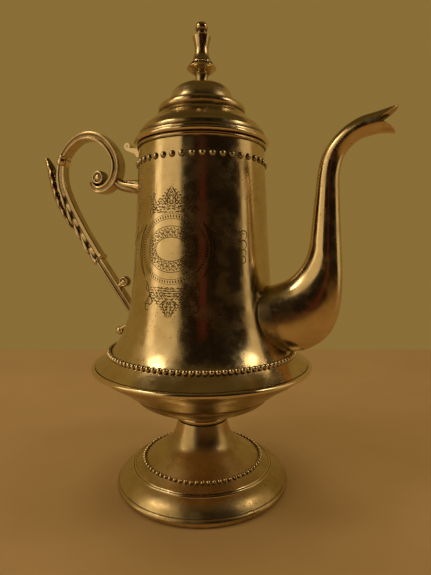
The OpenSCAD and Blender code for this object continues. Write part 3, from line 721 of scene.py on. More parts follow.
@dataclass
class Foot(SubAssembly):
    """The spun foot: its rolled rim, the raised ring on its shoulder, its beads and its trumpet stem."""

    bead_ring_r: float = 37.6
    bead_d: float = 2.6
    bead_gap: float = 0.75
    ring_half: float = 1.1
    ring_h: float = 0.9

    def outline(self, steps: int = 8) -> Array:
        """Gives the foot's outer face from its rim up to the stem's top, on a smooth curve."""
        p, z = POT, POT.foot_step_z
        low, tall = p.foot_rim_h, z - p.foot_rim_h
        share = lambda t: mix(p.foot_step_r, p.stem_r, t)
        return curve([[p.foot_r - 1.4, low], [p.foot_r - 3.8, low + 0.35 * tall],
                      [p.foot_r - 6.8, low + 0.66 * tall], [p.foot_step_r, z - 0.3], [share(0.19), z + 2.7],
                      [share(0.42), z + 6.8], [share(0.62), z + 10.6], [share(0.8), z + 14.4],
                      [share(0.92), mix(z + 14.4, p.stem_top_z, 0.4)], [p.stem_r, p.stem_top_z]], steps)

    def height_at(self, r: float | Array) -> float | Array:
        """Gives the height of the foot's outer face at a radius."""
        line = self.outline()[::-1]
        return np.interp(r, line[:, 0], line[:, 1])

    def rim_profile(self) -> Array:
        """Gives the rolled rim: three quarters of an ellipse that the pot stands on, hollow behind."""
        a = np.radians(np.arange(-90, 76, 7.5))
        r, top, half = POT.foot_r, POT.foot_rim_h, POT.foot_rim_h / 2
        roll = np.stack([r - 3 + 3 * np.cos(a), half + half * np.sin(a)], 1)
        back = [[r - 2.2, top], [r - 3.2, top], [r - 6.4, half]]
        return np.vstack([[[r - 6.4, 0]], roll, back])

    def ring_profile(self) -> Array:
        """Gives the shoulder ring: two thin ridges side by side, half-round, with a groove between."""
        t = np.linspace(-1, 1, 25)[::-1]
        r = POT.foot_step_r + self.ring_half * t
        ridge = self.ring_h * np.sqrt(np.clip(1 - (2 * np.abs(t) - 1) ** 2, 0, 1))
        top = np.stack([r, self.height_at(r) + ridge * 0.95 - 0.05], 1)
        base = np.stack([r[::-1], self.height_at(r[::-1]) - 0.3], 1)
        return np.vstack([top, base])

    def build(self) -> None:
        """Builds the foot's pieces."""
        self.place(lathe("foot_spun_shell", shell_profile(self.outline(), POT.wall), closed=True),
                   Slot.SHEET, "foot_shell", finish=Finishes.SATIN)
        self.place(lathe("foot_rolled_rim", self.rim_profile(), closed=True), Slot.SHEET, "foot_rim",
                   finish=Finishes.SATIN)
        ring = lathe("foot_shoulder_ring", self.ring_profile(), closed=True)
        self.place(ring, Slot.BRIGHT, "foot_step_ring")
        r = self.bead_ring_r
        fall = float(self.height_at(r - 0.5) - self.height_at(r + 0.5))
        ground = float(self.height_at(r))
        beads = bead_row("foot_bead_row", self.bead_d, self.bead_gap, r, ground, (fall, 1.0))
        self.place(beads, Slot.BRIGHT, "foot_beading")


# ---------- bowl and flange ----------


@dataclass
class BowlAndFlange(SubAssembly):
    """The shallow bowl between the stem and the flange, with its collar and the flange's wired edge."""

    collar_inset: float = 4.0
    collar_proud: float = 0.5

    def outline(self, steps: int = 8) -> Array:
        """Gives the bowl's outer face: a swelling lower curve, a small step, and a wide upper curve."""
        p = POT
        wide = lambda t: mix(p.stem_r, p.bowl_step_r, t)
        over = lambda t: mix(p.bowl_step_r, p.flange_r, t)
        rise = lambda t: mix(p.step_z, p.flange_z, t)
        lower = curve([[p.stem_r - 0.4, p.bowl_z], [p.stem_r + 7, p.bowl_z + 2.4],
                       [wide(0.55), p.bowl_z + 5.6], [p.bowl_step_r - 5, p.bowl_z + 9.4],
                       [p.bowl_step_r - 1.6, p.step_z - 2.6], [p.bowl_step_r - 0.5, p.step_z]], steps)
        upper = curve([[p.bowl_step_r, p.step_z], [p.bowl_step_r + 2.4, p.step_z + 1.1],
                       [over(0.38), rise(0.37)], [over(0.7), rise(0.66)],
                       [p.flange_r - 2.6, p.flange_z - 1.2]], steps)
        return np.vstack([lower, upper])

    def build(self) -> None:
        """Builds the collar, the bowl and the flange's rim."""
        p = POT
        outer = self.outline()
        profile = np.vstack([[[0, p.bowl_z]], outer, moved(outer, p.wall)[::-1], [[0, p.bowl_z + p.wall]]])
        self.place(lathe("bowl_spun_shell", profile, segments=FINE_SEGMENTS), Slot.SHEET, "lower_bowl",
                   finish=Finishes.SATIN)
        back = p.stem_r - self.collar_inset
        ring = rounded_ring(back, p.stem_r + self.collar_proud, p.stem_top_z, p.bowl_z)
        ring = ring[ring[:, 0] > back + 0.01]
        ring = np.vstack([[[p.stem_r - p.wall, p.stem_top_z]], ring, [[p.stem_r - p.wall, p.bowl_z]]])
        self.place(lathe("stem_top_collar", ring, closed=True), Slot.SHEET, "stem_collar")
        a = np.radians(np.arange(0, 360, 15))
        wire_r, wire = p.flange_wire_d / 2, p.flange_r - p.flange_wire_d / 2
        round_wire = np.stack([wire + wire_r * np.cos(a), p.flange_z + wire_r * np.sin(a)], 1)
        edge = lathe("flange_rolled_edge", round_wire, closed=True, segments=FINE_SEGMENTS)
        self.place(edge, Slot.BRIGHT, "flange_rim")


# ---------- body ----------


@dataclass
class PotBody(SubAssembly):
    """The tapering body with its flared skirt, both rows of beads, the mouth band and the strainer."""

    skirt_bead_rise: float = 7.3
    skirt_bead_d: float = 3.4
    skirt_bead_gap: float = 0.07
    shoulder_bead_drop: float = 11.6
    shoulder_bead_d: float = 4.0
    shoulder_bead_gap: float = 1.6
    shoulder_bead_proud: float = -0.12
    strainer_z: float = 110.95
    strainer_d: float = 3.0
    strainer_pitch: float = 5.2
    rod_sides: int = 14

    def outline(self) -> Array:
        """Gives the body's outer face, with its points closer together in the flare."""
        z = POT.sheet_edge_z + (POT.mouth_z - POT.sheet_edge_z) * np.linspace(0, 1, 91) ** 1.7
        return np.stack([POT.body_r(z), z], 1)

    def strainer_cutters(self) -> bpy.types.Object:
        """Builds the rods that drill the strainer's holes, in five rows of a triangular pattern."""
        row = self.strainer_pitch * math.sin(math.radians(60))
        middles = [(side + (abs(j) % 2) / 2, j) for j in range(-2, 3) for side in range(-2, 3 - abs(j) % 2)]
        spots = np.array([[i * self.strainer_pitch, self.strainer_z + j * row] for i, j in middles])
        n = self.rod_sides
        a = np.arange(n) * FULL_TURN / n
        ends = np.array([POT.mouth_r - 6, POT.mouth_r + 24])
        r = self.strainer_d / 2 * np.array([0, 1, 1, 0])
        x = ends[[0, 0, 1, 1]]
        rod = np.stack([np.repeat(x[:, None], n, 1), r[:, None] * np.cos(a), r[:, None] * np.sin(a)], -1)
        points = rod[None] + np.insert(spots, 0, 0, axis=1)[:, None, None]
        one = grid_faces(len(r), n, False, True)[:, ::-1]
        faces = (one[None] + (np.arange(len(spots)) * len(r) * n)[:, None, None]).reshape(-1, 4)
        return mesh_object("strainer_cutters", points.reshape(-1, 3), faces)

    def drilled(self, shell: bpy.types.Object) -> bpy.types.Object:
        """Drills the strainer's holes through the shell and throws the rods away."""
        rods = self.strainer_cutters()
        cut = shell.modifiers.new("strainer", "BOOLEAN")
        cut.object, cut.operation, cut.solver = rods, "DIFFERENCE", "EXACT"
        evaluated = shell.evaluated_get(bpy.context.evaluated_depsgraph_get())
        mesh = bpy.data.meshes.new_from_object(evaluated)
        shell.modifiers.clear()
        shell.data = mesh
        bpy.data.objects.remove(rods)
        return shell

    def build(self) -> None:
        """Builds the body's pieces."""
        p = POT
        profile = shell_profile(self.outline(), p.wall)
        shell = lathe("body_drawn_shell", profile, closed=True, segments=FINE_SEGMENTS)
        self.place(self.drilled(shell), Slot.SHEET, "body_shell")
        z = p.sheet_edge_z + self.skirt_bead_rise
        beads = bead_row("skirt_bead_row", self.skirt_bead_d, self.skirt_bead_gap, float(p.body_r(z)), z,
                         (1.0, p.body_slope(z)))
        self.place(beads, Slot.BRIGHT, "skirt_beading")
        z = p.mouth_z - self.shoulder_bead_drop
        beads = bead_row("shoulder_bead_row", self.shoulder_bead_d, self.shoulder_bead_gap,
                         float(p.body_r(z)), z, (1.0, p.body_slope(z)), proud=self.shoulder_bead_proud)
        self.place(beads, Slot.BRIGHT, "shoulder_beading")
        ring = rounded_ring(p.mouth_r, p.mouth_r + p.band_proud, p.mouth_z - p.band_h, p.mouth_z)
        ring[[0, -1], 0] = p.body_r(ring[[0, -1], 1])
        self.place(lathe("mouth_wire_band", ring, closed=True), Slot.BRIGHT, "mouth_band")


# ---------- engraving ----------


@dataclass
class Engraving(SubAssembly):
    """The cartouche cut into both sides of the body, as fine closed strokes on the metal's face.

    A stroke is a list of (s, h) points: s along the body's face from the cartouche's upright middle line
    and h above its centre, both in millimetres. Strokes on one side are mirrored to the other.
    """

    centre_z: float = 150.8
    rope: tuple[float, float] = (20.6, 18.0)
    wreath: tuple[float, float] = (15.2, 12.4)
    plain: tuple[float, float] = (9.9, 6.6)
    rope_cuts: int = 76
    wreath_cuts: int = 132
    wreath_waves: int = 11
    wreath_sway: float = 1.5
    depth: float = 0.06
    boldness: float = 1.45
    strokes: list = field(default_factory=list)

    def add(self, points: list, width: float = 0.38, steps: int = 5, mirrored: bool = True) -> None:
        """Adds a stroke through some points, and its mirror image.

        Args:
            points: the points that the stroke's smooth curve runs through; two make a straight stroke.
            width: its width at the middle; it thins towards both ends.
            steps: steps between points.
            mirrored: whether the same stroke is cut on the other side of the middle line.
        """
        if len(points) > 2:
            line = curve(points, steps)
        else:
            line = mix(*np.array(points)[:, None], np.linspace(0, 1, 5)[:, None])
        self.strokes.append((line, width))
        if mirrored:
            self.strokes.append((line * [-1, 1], width))

    @staticmethod
    def arc(centre: tuple, radius: float, start: float, end: float, close: float = 1.0) -> list:
        """Gives points of a spiral from start to end degrees, whose radius shrinks to the share close."""
        t = np.linspace(0, 1, 8)
        a = np.radians(mix(start, end, t))
        r = radius * mix(1.0, close, t)
        return np.stack([centre[0] + r * np.cos(a), centre[1] + r * np.sin(a)], 1).tolist()

    @staticmethod
    def ring(axes: tuple[float, float], a: Array, grow: Array | float = 0.0) -> Array:
        """Gives points on an oval of given half axes, moved out by a distance."""
        return np.stack([(axes[0] + grow) * np.cos(a), (axes[1] + grow) * np.sin(a)], -1)

    def cut_ovals(self) -> None:
        """Cuts the rope-like border, the twined wreath and the line round the plain middle."""
        for k in range(self.rope_cuts):
            a = np.array([k, k + 0.25]) * FULL_TURN / self.rope_cuts
            self.add(self.ring(self.rope, a, np.array([-0.85, 0.85])), 0.5, mirrored=False)
        a = np.linspace(0, FULL_TURN, 97)
        for axes, grow, width in ((self.rope, -1.35, 0.2), (self.rope, 1.3, 0.16), (self.plain, 0.0, 0.3),
                                  (self.wreath, 0.3, 0.26)):
            self.strokes.append((self.ring(axes, a, grow), width))
        middle = tuple((p + w) / 2 for p, w in zip(self.plain, self.wreath))
        a = np.linspace(0, FULL_TURN, 241)
        for phase in (0.0, math.pi):
            sway = self.wreath_sway * np.sin(self.wreath_waves * a + phase)
            self.strokes.append((self.ring(middle, a, sway), 0.24))
        for k in range(self.wreath_cuts):
            a0, row = k * FULL_TURN / self.wreath_cuts, (-1.9, 0.0, 1.9)[k % 3]
            a = np.array([a0, a0 + 0.05, a0 + 0.09])
            lean = np.array([-0.45, 0.25, 0.6]) * (1 if k % 2 else -1)
            self.add(self.ring(middle, a, row + lean), 0.4, mirrored=False)

    def sprigs(self, edge: list, low: float, high: float, pitch: float = 1.7) -> None:
        """Fills a space with small curled cuts, in rows that turn this way and that.

        Args:
            edge: the space's half width, at even steps from its low to its high end.
            low: its lower height.
            high: its upper height.
            pitch: distance between cuts.
        """
        rows = max(2, round((high - low) / (pitch * 0.9)))
        for j in range(rows):
            h = mix(low, high, (j + 0.5) / rows)
            reach = float(np.interp((h - low) / (high - low), np.linspace(0, 1, len(edge)), edge))
            for k in range(max(1, round(reach / pitch))):
                x = (k + 0.5 + 0.3 * math.sin(2.3 * k + 1.7 * j)) * pitch
                way = 1 if (j + k) % 2 else -1
                lean = 0.5 * math.sin(1.3 * k - 2.1 * j)
                sprig = [[x - 0.6, h - 0.5 * way], [x + 0.1 + lean, h + 0.35 * way],
                         [x + 0.7, h - 0.15 * way]]
                self.add(sprig, 0.36, 3)

    def cut_crown(self) -> None:
        """Cuts the palmette above the border, its side sprays and the leaves between them."""
        self.add([[0, 34.5], [2.2, 31.5], [3.6, 28.6], [2.8, 26], [0, 24.4]], 0.4)
        self.add([[0, 32.4], [1.1, 30], [1.6, 28], [0, 26]], 0.3)
        for k in range(6):
            h = 33.4 - 1.45 * k
            reach = 0.7 + 0.62 * k - 0.07 * k * k
            self.add([[reach, h - 0.9], [reach + 0.75, h - 0.1], [reach + 0.4, h - 1.6]], 0.3, 3)
            self.add([[0.2, h - 1.0], [reach * 0.8, h - 0.2]], 0.24)
        self.add([[0, 23.6], [3.2, 24.8], [6.4, 27.6], [8.4, 27.2], [7.6, 25.2], [5.6, 25.6]], 0.36)
        self.add([[0, 22.2], [4.6, 22.8], [8.6, 24], [10.8, 26.6], [12.6, 30.2]], 0.36)
        self.add([[2.4, 20.4], [7.4, 21], [11.6, 23.4], [13, 27.6], [11.2, 30.6], [12.9, 31.2],
                  [14, 28.8]], 0.4)
        self.add([[14.2, 18.2], [12.4, 20.6], [13.6, 23], [15.2, 21.4], [14.2, 19.8]], 0.42)
        for k in range(7):
            x, h = 10.4 + 0.55 * k, 20.4 + 1.5 * k
            self.add([[x, h], [x + 1.5, h + 0.5], [x + 2.2, h - 0.6]], 0.34, 3)
            self.add([[x - 0.6, h + 0.6], [x - 1.9, h + 1.4]], 0.28)
        self.sprigs([13.5, 13.0, 9.5, 6.0, 2.2], 19.6, 33.0)

    def cut_blades(self) -> None:
        """Cuts the long curved blades at the sides and the flourish that runs out to the stacked scrolls."""
        self.add([[17.8, 14.6], [21.8, 9.6], [24.5, 1.6], [24.3, -5], [22.2, -10.8], [18.8, -15.6]], 0.75)
        self.add([[17.8, 14.6], [20.6, 9], [22.6, 1.8], [22.6, -4.6], [21.2, -10], [18.8, -15.6]], 0.5)
        self.add([[20.4, 15], [24.6, 11.2], [29.8, 7.4], [35.6, 3.6], [39.4, 2.4]], 0.3)
        self.add([[22, 12], [25.6, 9], [28.6, 5.6], [29.8, 2.2]], 0.24)
        for k in range(4):
            self.add([[27.6 + 2.4 * k, 8.8 - 1.6 * k], [29.2 + 2.4 * k, 9.8 - 1.5 * k],
                      [30.9 + 2.4 * k, 9.2 - 1.7 * k]], 0.26, 3)
        self.add(self.arc((42.2, 7.7), 2.7, 160, -60, 0.85), 0.42)
        self.add(self.arc((42.0, 7.4), 1.3, 200, 20), 0.3)
        self.add(self.arc((42.0, 2.4), 2.5, 150, -75, 0.9), 0.42)
        self.add(self.arc((42.4, -2.2), 2.1, 165, -60, 0.8), 0.4)
        self.add(self.arc((42.0, -6.0), 2.3, 120, -110, 0.8), 0.42)
        self.add([[39.4, 2.4], [40.6, 4.6], [43.9, 5.2]], 0.3, 4)

    def cut_foliage(self) -> None:
        """Cuts the foliage below the border: bars, side scrolls and a hanging leaf."""
        for k in range(4):
            reach, drop = 9.6 - 1.5 * k, 1.25 * k
            bar = [[-reach, -21.2 - drop], [0, -21.9 - drop], [reach, -21.2 - drop]]
            self.add(bar, 0.3, mirrored=False)
        self.add([[17.6, -17.6], [15.2, -20.6], [14, -25], [11.6, -27.4], [8, -26.2]], 0.42)
        self.add([[16.4, -19.4], [17.2, -22], [15.6, -23.8]], 0.34)
        self.add(self.arc((13.9, -29.2), 3.0, 60, 330, 0.45), 0.44)
        self.add(self.arc((15.2, -32.6), 2.3, 120, -150, 0.6), 0.36)
        self.add(self.arc((9.4, -29.6), 1.8, 0, 260, 0.5), 0.34)
        for k in range(6):
            self.add([[10.6 + 1.1 * k, -24.4 - 1.3 * k], [12.3 + 1.05 * k, -24.2 - 1.25 * k],
                      [12.9 + 0.9 * k, -25.8 - 1.2 * k]], 0.34, 3)
        self.add([[0, -27.2], [2.6, -28.8], [3.9, -31], [2.6, -34.2], [0, -37.6]], 0.4)
        self.add([[0, -28.6], [1.4, -30.6], [1.2, -33], [0, -35.2]], 0.3)
        for k in range(5):
            h = -29.2 - 1.6 * k
            self.add([[0.2, h], [2.6 - 0.42 * k, h - 0.9]], 0.26)
            self.add([[3.4 - 0.5 * k, h - 0.2], [4.6 - 0.6 * k, h - 0.5], [3.7 - 0.6 * k, h - 1.7]], 0.3, 3)
        self.sprigs([3.0, 6.5, 13.5, 15.5, 14.0], -35.5, -20.6)
        for k in range(4):
            self.add([[5.4 + 2.0 * k, -22.8], [4.2 + 1.9 * k, -25.4], [2.0 + 1.7 * k, -27.4]], 0.28, 4)

    def build(self) -> None:
        """Cuts every stroke on both sides of the body.

        A stroke's section is a flat diamond: half the width to each side, and the depth out and in. The
        point (s, h) lies at the angle s / R from the side's middle, where R is the body's radius there.
        """
        for cut in (self.cut_ovals, self.cut_crown, self.cut_blades, self.cut_foliage):
            cut()
        for side, middle in (("near", -math.pi / 2), ("far", math.pi / 2)):
            points, faces, count = [], [], 0
            for line, width in self.strokes:
                t = tangents(line)
                across = np.stack([-t[:, 1], t[:, 0]], 1)
                u = np.linspace(0, 1, len(line))
                closed = bool(np.allclose(line[0], line[-1], atol=1e-6))
                swell = np.ones(len(u)) if closed else 0.25 + 0.75 * np.sin(math.pi * u) ** 0.5
                half = self.boldness * width / 2 * swell
                out = np.array([0, self.depth, 0, -self.depth])[None]
                beside = half[:, None] * np.array([1, 0, -1, 0])[None]
                flat = line[:, None] + across[:, None] * beside[..., None]
                z = self.centre_z + flat[..., 1]
                r = POT.body_r(z)
                a = middle + flat[..., 0] / r
                ring = np.stack([(r + out) * np.cos(a), (r + out) * np.sin(a), z], -1)
                cap = [np.repeat(ring[k].mean(0)[None, None], 4, 1) for k in (0, -1)]
                ring = np.concatenate([cap[0], ring, cap[1]])
                points.append(ring.reshape(-1, 3))
                faces.append(grid_faces(len(ring), 4, False, True) + count)
                count += len(ring) * 4
            piece = mesh_object(f"cartouche_{side}", np.vstack(points), np.vstack(faces))
            self.place(piece, Slot.SHEET, finish=Finishes.ENGRAVED)


# ---------- spout ----------


@dataclass
class Spout(SubAssembly):
    """The swan-neck spout with its wide foot on the body and its parted beak."""

    reach: float = 112.9
    tip_z: float = 226.4
    wall: float = 1.2
    beak_cut: float = 9.0
    foot_half_w: float = 18.0
    neck_half_w: float = 8.6
    foot_share: float = 0.36
    slimming: float = 2.6
    sides: int = 64
    low: tuple = ((0.252, 0.072), (0.372, 0.083), (0.482, 0.114), (0.561, 0.155), (0.608, 0.204),
                  (0.633, 0.254), (0.646, 0.322), (0.646, 0.404), (0.636, 0.493), (0.624, 0.588),
                  (0.615, 0.677), (0.609, 0.752), (0.615, 0.79), (0.628, 0.819), (0.652, 0.846),
                  (0.693, 0.87), (0.749, 0.89), (0.819, 0.9), (0.898, 0.904), (0.984, 0.899))
    high: tuple = ((0.073, 0.336), (0.156, 0.35), (0.24, 0.37), (0.302, 0.399), (0.348, 0.431),
                   (0.377, 0.467), (0.394, 0.506), (0.403, 0.551), (0.411, 0.595), (0.42, 0.647),
                   (0.43, 0.7), (0.439, 0.753), (0.453, 0.8), (0.477, 0.843), (0.518, 0.881),
                   (0.571, 0.913), (0.644, 0.944), (0.744, 0.97), (0.871, 0.984), (1, 1))

    def edge(self, shares: tuple) -> Array:
        """Turns shares of the spout's reach and rise into a smooth edge of points."""
        s = np.array(shares)
        x, z = mix(POT.mouth_r, self.reach, s[:, 0]), mix(POT.sheet_edge_z, self.tip_z, s[:, 1])
        return curve(np.stack([x, z], 1), 7)

    def half_width(self, t: Array, inset: float) -> Array:
        """Gives half the width along the spout: fast out of the foot, then slimmer towards the beak."""
        narrowing = 1 - (1 - np.minimum(t / self.foot_share, 1)) ** 2
        foot = mix(self.foot_half_w, self.neck_half_w, narrowing)
        return foot - self.slimming * np.clip((t - self.foot_share) / 0.3, 0, 1) - inset

    def rings(self, inset: float) -> Array:
        """Gives the spout's rings, each an ellipse between the lower and the upper edge.

        Ring point a is mid + half cos a in the plane and w sin a across it. The foot's ring lies on the
        body, and the beak's sides are cut back by the cut times (1 - |cos a|)^1.35.
        """
        low, high = self.edge(self.low), self.edge(self.high)
        n = len(low)
        t = np.linspace(0, 1, n)
        half, mid = (high - low) / 2, (high + low) / 2
        keep = 1 - inset / np.linalg.norm(half, axis=1)
        a = (np.arange(self.sides) * FULL_TURN / self.sides)[None, :]
        plane = mid[:, None] + half[:, None] * keep[:, None, None] * np.cos(a)[..., None]
        y = self.half_width(t, inset)[:, None] * np.sin(a)
        cut = self.beak_cut * np.clip((t - 0.9) / 0.1, 0, 1)[:, None] ** 1.5 * (1 - np.abs(np.cos(a))) ** 1.35
        x = plane[..., 0] - cut
        x[0] = np.sqrt(POT.body_r(plane[0, :, 1]) ** 2 - y[0] ** 2) - 0.02
        return np.stack([x, y, plane[..., 1]], -1)

    def build(self) -> None:
        """Builds the spout as one closed skin, outer face and inner face joined at both ends."""
        outer, inner = self.rings(0.0), self.rings(self.wall)
        lip = (outer[-1:] + inner[-1:]) / 2 + np.array([0.08, 0, 0])
        rings = np.concatenate([outer, lip, inner[::-1]])
        n, m = rings.shape[:2]
        near_foot = np.exp(-(((np.arange(len(outer))) / 2.2) ** 2)) * 0.75
        deep = np.concatenate([near_foot, [0.0], np.linspace(0.35, 0.9, len(inner))])
        faces = grid_faces(n, m, True, True)[:, ::-1]
        piece = mesh_object("spout_swan_neck", rings.reshape(-1, 3), faces, np.repeat(deep[:, None], m, 1))
        self.place(piece, Slot.SHEET, "spout")


# ---------- handle ----------


@dataclass
class Handle(SubAssembly):
    """The cast handle: an upper scroll with a volute, a bound shaft with leafwork, and a lower bar."""

    scroll_w: float = 8.4
    scroll_t: float = 6.3
    scroll_r: float = 34.5
    shaft_w: float = 5.8
    shaft_t: float = 8.8
    bar_w: float = 5.8
    bar_t: float = 5.2
    bar_foot_z: float = 103.6
    solder: float = 0.4
    lobe_pitch: float = 12.4
    eye: tuple[float, float] = (-77.9, 200.8)
    radii: tuple = (0.162, 0.205, 0.248, 0.275, 0.32, 0.394, 0.504, 0.617, 0.788, 0.933, 1.0)
    thicks: tuple = (0.5, 0.62, 0.74, 0.84, 0.95, 1.0, 1.0, 0.98, 0.93, 0.8, 0.7)
    arm_start: int = 54
    scroll_path: Array = field(init=False)
    sleeve_end: Array = field(init=False)
    bar_foot: Array = field(init=False)

    def __post_init__(self) -> None:
        """Works out the path of the upper scroll and the places that the other pieces hang on."""
        line = curve(np.stack([np.arange(11) * 30.0, np.array(self.radii) * self.scroll_r], 1), 12)
        a = np.radians(line[:, 0] - 150)
        self.scroll_path = np.array(self.eye) + line[:, 1:] * np.stack([np.cos(a), np.sin(a)], 1)
        self.sleeve_end = self.from_eye(-0.023, -1.667)
        self.bar_foot = np.array([-float(POT.body_r(self.bar_foot_z)), self.bar_foot_z])

    def from_eye(self, x: float, z: float) -> Array:
        """Gives a place as shares of the scroll's radius from the volute's eye."""
        return np.array(self.eye) + self.scroll_r * np.array([x, z])

    @staticmethod
    def strap_section(steps: int = 4) -> Array:
        """Gives the strap's section: two raised edges and a groove on each side."""
        half = [[-0.5, -0.38], [-0.4, -0.5], [-0.22, -0.5], [-0.1, -0.42],
                [0.1, -0.42], [0.22, -0.5], [0.4, -0.5], [0.5, -0.38]]
        return closed_curve(half + [[-s, -b] for s, b in half], steps)

    @staticmethod
    def oval_section(sides: int = 48) -> Array:
        """Gives a plain oval section."""
        a = np.arange(sides) * FULL_TURN / sides
        return 0.5 * np.stack([np.cos(a), np.sin(a)], 1)

    @staticmethod
    def groove_darkening(section: Array, n: int) -> Array:
        """Gives the darkening of the strap's grooves: deep where the side dips, clear on the ridges."""
        depth = np.exp(-((section[:, 0] / 0.13) ** 2)) * (np.abs(section[:, 1]) > 0.3)
        return np.repeat(depth[None], n, 0)

    def build_scroll(self) -> None:
        """Builds the upper scroll and the volute's eye."""
        section = self.strap_section()
        n = len(self.scroll_path)
        thick = self.scroll_t * along_values(list(self.thicks), n)
        piece = sweep("handle_upper_scroll", self.scroll_path, section, thick, np.full(n, self.scroll_w),
                      hollow=self.groove_darkening(section, n) * 0.75)
        self.place(piece, Slot.CAST, "handle_scroll")
        eye_r = self.radii[0] * self.scroll_r - self.thicks[0] * self.scroll_t / 2 + 2 * self.solder
        ridge = np.array([[0, 0], [0.22, 0.06], [0.38, 0.5], [0.46, 1.5], [0.54, 1.6],
                          [0.62, 0.9], [0.72, 0.3], [0.86, 0.35], [0.96, 0.9], [1.0, 1.8]]) * [eye_r, 1]
        self.place(button("handle_volute_eye", self.eye, (self.scroll_w - 0.6) / 2, curve(ridge, 3)),
                   Slot.BRIGHT, "handle_eye")

    def build_arm(self) -> None:
        """Builds the short arm from the scroll to the body, with soft leaf folds on it."""
        start = self.scroll_path[self.arm_start]
        out = (start - np.array(self.eye)) / np.linalg.norm(start - np.array(self.eye))
        root = start + (self.scroll_t / 2 - self.solder) * out
        z = self.eye[1] - 8.6
        x = -float(POT.body_r(z))
        path = curve([root, root + [4.6, -2.6], [x - 7, z + 0.6], [x + self.solder, z]], 12)
        n, section = len(path), self.oval_section()
        u, a = np.linspace(0, 1, n)[:, None], np.arctan2(section[:, 1], section[:, 0])[None]
        folds = np.abs(np.sin(3 * a + 5 * u)) ** 0.7
        relief = -0.7 * (1 - folds) * np.sin(math.pi * u) ** 0.5
        piece = sweep("handle_upper_arm", path, section, along_values([7.4, 7, 8.4, 11, 13], n),
                      along_values([6.4, 6, 6.6, 8.4, 10], n), relief, (1 - folds) * np.sin(math.pi * u))
        self.place(piece, Slot.CAST, "handle_arm")

    def build_band(self) -> Array:
        """Builds the binding band between scroll and shaft, and gives the place where the shaft starts."""
        top = self.scroll_path[-1]
        foot = top + [-2.7, -6.4]
        path = curve([top, (top + foot) / 2, foot], 14)
        n = len(path)
        u = np.linspace(0, 1, n)
        bead = 0.45 * np.abs(np.cos(1.5 * math.pi * u)) ** 0.6 - 0.45
        thick = along_values([0.7 * self.scroll_t + k for k in (3, 3.8, 3.4)], n) + 2 * bead
        broad = along_values([self.scroll_w + k for k in (2.2, 2.8, 2)], n) + 2 * bead
        hollow = np.repeat((-bead[:, None] / 0.45) ** 1.5, 48, 1)
        self.place(sweep("handle_binding_band", path, self.oval_section(), thick, broad, hollow=hollow),
                   Slot.BRIGHT, "handle_band")
        return foot

    def build_shaft(self, start: Array) -> None:
        """Builds the shaft: ridged like the scroll at its top, then clothed in overlapping leaf lobes.

        The lobes are |sin(pi(u/pitch + 1.3 s))|^0.5 for the length u and the share s across the side,
        and they fade in below the top third.
        """
        shares = [(-0.843, -0.388), (-0.687, -0.701), (-0.42, -1.142), (-0.159, -1.507)]
        path = curve([start, start + [-0.7, -7.8], start + [0.3, -15.8], *(self.from_eye(*p) for p in shares),
                      self.sleeve_end], 20)
        section = self.strap_section(5)
        n = len(path)
        length = np.concatenate([[0], np.cumsum(np.linalg.norm(np.diff(path, axis=0), axis=1))])[:, None]
        s, b = section[None, :, 0], section[None, :, 1]
        fade = eased((length - 16) / 10) * eased((length[-1] - length) / 4)
        leafy = eased((0.2 - s) / 0.12)
        lobe = 1 - leafy * (1 - np.abs(np.sin(math.pi * (length / self.lobe_pitch + 1.3 * s))) ** 0.5)
        rib = np.exp(-(((s - 0.24) / 0.07) ** 2)) * (np.abs(b) > 0.3)
        veins = 0.5 + 0.5 * np.sin(FULL_TURN * (length / (self.lobe_pitch / 4) - 2.4 * s))
        relief = fade * (-1.2 * (1 - lobe) + 0.35 * rib - 0.1 * leafy * veins * (np.abs(b) > 0.3))
        relief = relief + 0.45 * np.exp(-(((length[-1] - length - 1.3) / 0.9) ** 2))
        grooves = self.groove_darkening(section, n) * 0.8
        hollow = grooves * (1 - fade) + fade * np.clip(1.5 * (1 - lobe) - 0.15, 0, 1)
        thick = self.shaft_t * along_values([0.84, 0.94, 1.04, 1.08, 1.1, 1.0], n) - 0.3
        broad = self.shaft_w * along_values([1, 1, 1, 1, 1.16], n)
        self.place(sweep("handle_leafy_shaft", path, section, thick, broad, relief, hollow),
                   Slot.CAST, "handle_shaft")

    def build_leaf(self) -> None:
        """Builds the leaf on the shaft's back, with a lobed edge, a midrib and a tip that curls away."""
        out = np.array([-self.shaft_t / 2, 0])
        shares = [(-0.583, -0.98), (-0.716, -0.765), (-0.838, -0.545), (-0.942, -0.301), (-1.029, -0.023),
                  (-1.114, 0.249), (-1.24, 0.48)]
        path = curve([self.from_eye(*p) + out for p in shares], 16)
        n, section = len(path), self.oval_section(56)
        u = np.linspace(0, 1, n)
        length = np.concatenate([[0], np.cumsum(np.linalg.norm(np.diff(path, axis=0), axis=1))])
        edge = 1 - 0.17 * np.abs(np.cos(math.pi * length / 7.6)) ** 1.5
        broad = along_values([5, 8, 10, 10.4, 8.6, 4.0], n) * edge
        thick = along_values([2.6, 4.8, 6.4, 7.2, 6.6, 3.4], n)
        a = np.arctan2(section[:, 1], section[:, 0])[None]
        across = np.abs(section[None, :, 1]) * 2
        vein = np.abs(np.sin(math.pi * (length[:, None] / 3.8 - 1.1 * across))) ** 0.6
        midrib = np.exp(-((across / 0.16) ** 2))
        dish = np.sin(math.pi * np.clip(across, 0, 1)) * np.abs(np.cos(a)) ** 0.5
        sunk = 0.36 * dish * (0.6 + 0.4 * (1 - vein)) + 0.25 * (1 - midrib) * (1 - vein)
        relief = -sunk * np.sin(math.pi * u)[:, None] ** 0.4
        hollow = np.clip(0.45 * dish * (1 - vein) - 0.06, 0, 1)
        self.place(sweep("handle_acanthus_leaf", path, section, thick, broad, relief, hollow),
                   Slot.BRIGHT, "handle_leaf", finish=Finishes.CAST)

